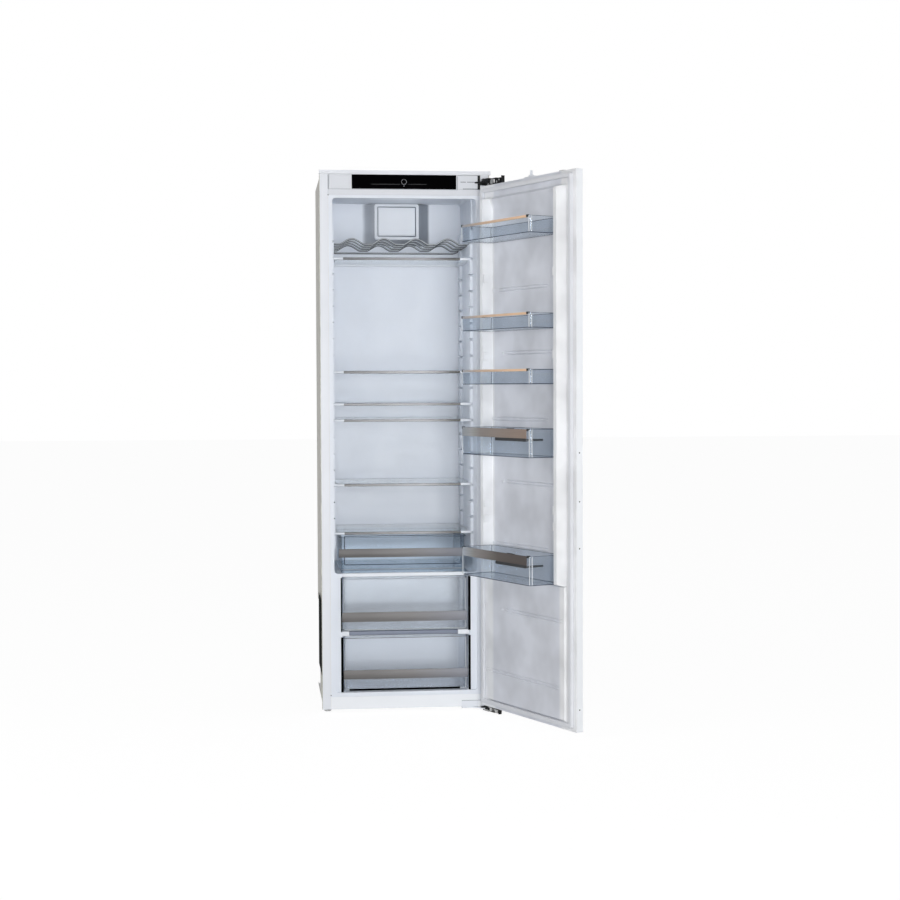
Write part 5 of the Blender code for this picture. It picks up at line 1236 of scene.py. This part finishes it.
class FRIDGE_OT_stage(bpy.types.Operator):
    """Sets the camera of the photograph, the pale floor, the soft lamps and the white background"""
    bl_idname = "fridge.stage"
    bl_label = "Stage"

    def execute(self, context):
        self.camera(context)
        self.floor(context)
        self.lamps(context)
        self.world(context)
        context.scene.view_settings.view_transform = "Standard"
        return {"FINISHED"}

    def place(self, context, name, data, spot, heading, tilt, roll=0.0):
        """Adds a camera or lamp, turned about Z by its heading, about X by its tilt, then by its roll."""
        made = bpy.data.objects.new(name, data)
        context.scene.collection.objects.link(made)
        made.matrix_world = (Matrix.Translation(spot) @ Matrix.Rotation(heading, 4, "Z")
                             @ Matrix.Rotation(tilt, 4, "X") @ Matrix.Rotation(roll, 4, "Z"))
        return made

    def camera(self, context):
        """The camera as it was fitted to the photograph."""
        data = bpy.data.cameras.new("photo_camera")
        data.lens, data.sensor_width = CAMERA_LENS, 36.0
        angles = (math.radians(a) for a in CAMERA_ANGLES)
        context.scene.camera = self.place(context, "photo_camera", data, CAMERA_PLACE, *angles)

    def floor(self, context):
        """A wide square under the feet, near white to the camera, that keeps the soft shadow."""
        level, reach = CAD_BOX[0].z, FLOOR_REACH
        mesh = bpy.data.meshes.new("floor")
        mesh.from_pydata([(-reach, -reach, level), (reach, -reach, level), (reach, reach, level),
                          (-reach, reach, level)], [], [(0, 1, 2, 3)])
        # Matt pale paint, which the camera sees as good as white with a trace of the shadow
        material, tree = blank("pale_floor")
        paint = add(tree, "ShaderNodeBsdfDiffuse", {"Color": (*linear("#FAFAFA"), 1)})
        glow = add(tree, "ShaderNodeEmission", {"Color": (1, 1, 1, 1), "Strength": 1.09})
        put_out(tree, compute(tree, "MULTIPLY", seen(tree), 0.85), paint, glow)
        mesh.materials.append(material)
        made = bpy.data.objects.new("floor", mesh)
        context.scene.collection.objects.link(made)

    def lamps(self, context):
        """Soft lamps by the camera and at both sides, and a weak one inside that isn't seen itself."""
        for name, spot, aim, size, power in LAMPS:
            data = bpy.data.lights.new(name, "AREA")
            data.shape = "RECTANGLE"
            (data.size, data.size_y), data.energy = size, power
            away = np.array(spot) - aim
            made = self.place(context, name, data, spot, math.atan2(away[0], -away[1]),
                              math.atan2(math.hypot(away[0], away[1]), away[2]))
            made.visible_camera = made.visible_glossy = made.visible_transmission = name != "inner_lamp"

    def world(self, context):
        """Even light from all round, and white where the camera, metal and glass look past the floor."""
        world = context.scene.world = bpy.data.worlds.new("studio")
        world.use_nodes = True
        tree = world.node_tree
        tree.nodes.clear()
        strength = remap(tree, seen(tree), 0.0, 1.0, 0.33, 1.0)
        background = add(tree, "ShaderNodeBackground", {"Color": (1, 1, 1, 1), "Strength": strength})
        add(tree, "ShaderNodeOutputWorld", {"Surface": background.outputs[0]})


class FRIDGE_PT_panel(bpy.types.Panel):
    """Lists the sizes, the colours and the steps"""
    bl_idname = "FRIDGE_PT_panel"
    bl_label = "Refrigerator"
    bl_space_type = "VIEW_3D"
    bl_region_type = "UI"
    bl_category = "Refrigerator"

    def draw(self, context):
        for group in (context.scene.fridge_sizes, context.scene.fridge_colours):
            column = self.layout.column()
            for name in group.bl_rna.properties.keys():
                if name not in ("rna_type", "name"):
                    column.prop(group, name)
        for operator in OPERATORS:
            self.layout.operator(operator.bl_idname)


OPERATORS = (FRIDGE_OT_stage, FRIDGE_OT_cabinet, FRIDGE_OT_panel, FRIDGE_OT_fan, FRIDGE_OT_rack,
             FRIDGE_OT_shelves, FRIDGE_OT_drawers, FRIDGE_OT_door, FRIDGE_OT_bins, FRIDGE_OT_hinges,
             FRIDGE_OT_machinery)
CLASSES = (FridgeSizes, FridgeColours, *OPERATORS, FRIDGE_PT_panel)


def register():
    for one in CLASSES:
        bpy.utils.register_class(one)
    bpy.types.Scene.fridge_sizes = PointerProperty(type=FridgeSizes)
    bpy.types.Scene.fridge_colours = PointerProperty(type=FridgeColours)


def unregister():
    del bpy.types.Scene.fridge_colours
    del bpy.types.Scene.fridge_sizes
    for one in reversed(CLASSES):
        bpy.utils.unregister_class(one)


def main():
    """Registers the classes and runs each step."""
    register()
    for operator in OPERATORS:
        group, name = operator.bl_idname.split(".")
        getattr(getattr(bpy.ops, group), name)()


if __name__ == "__main__":
    main()
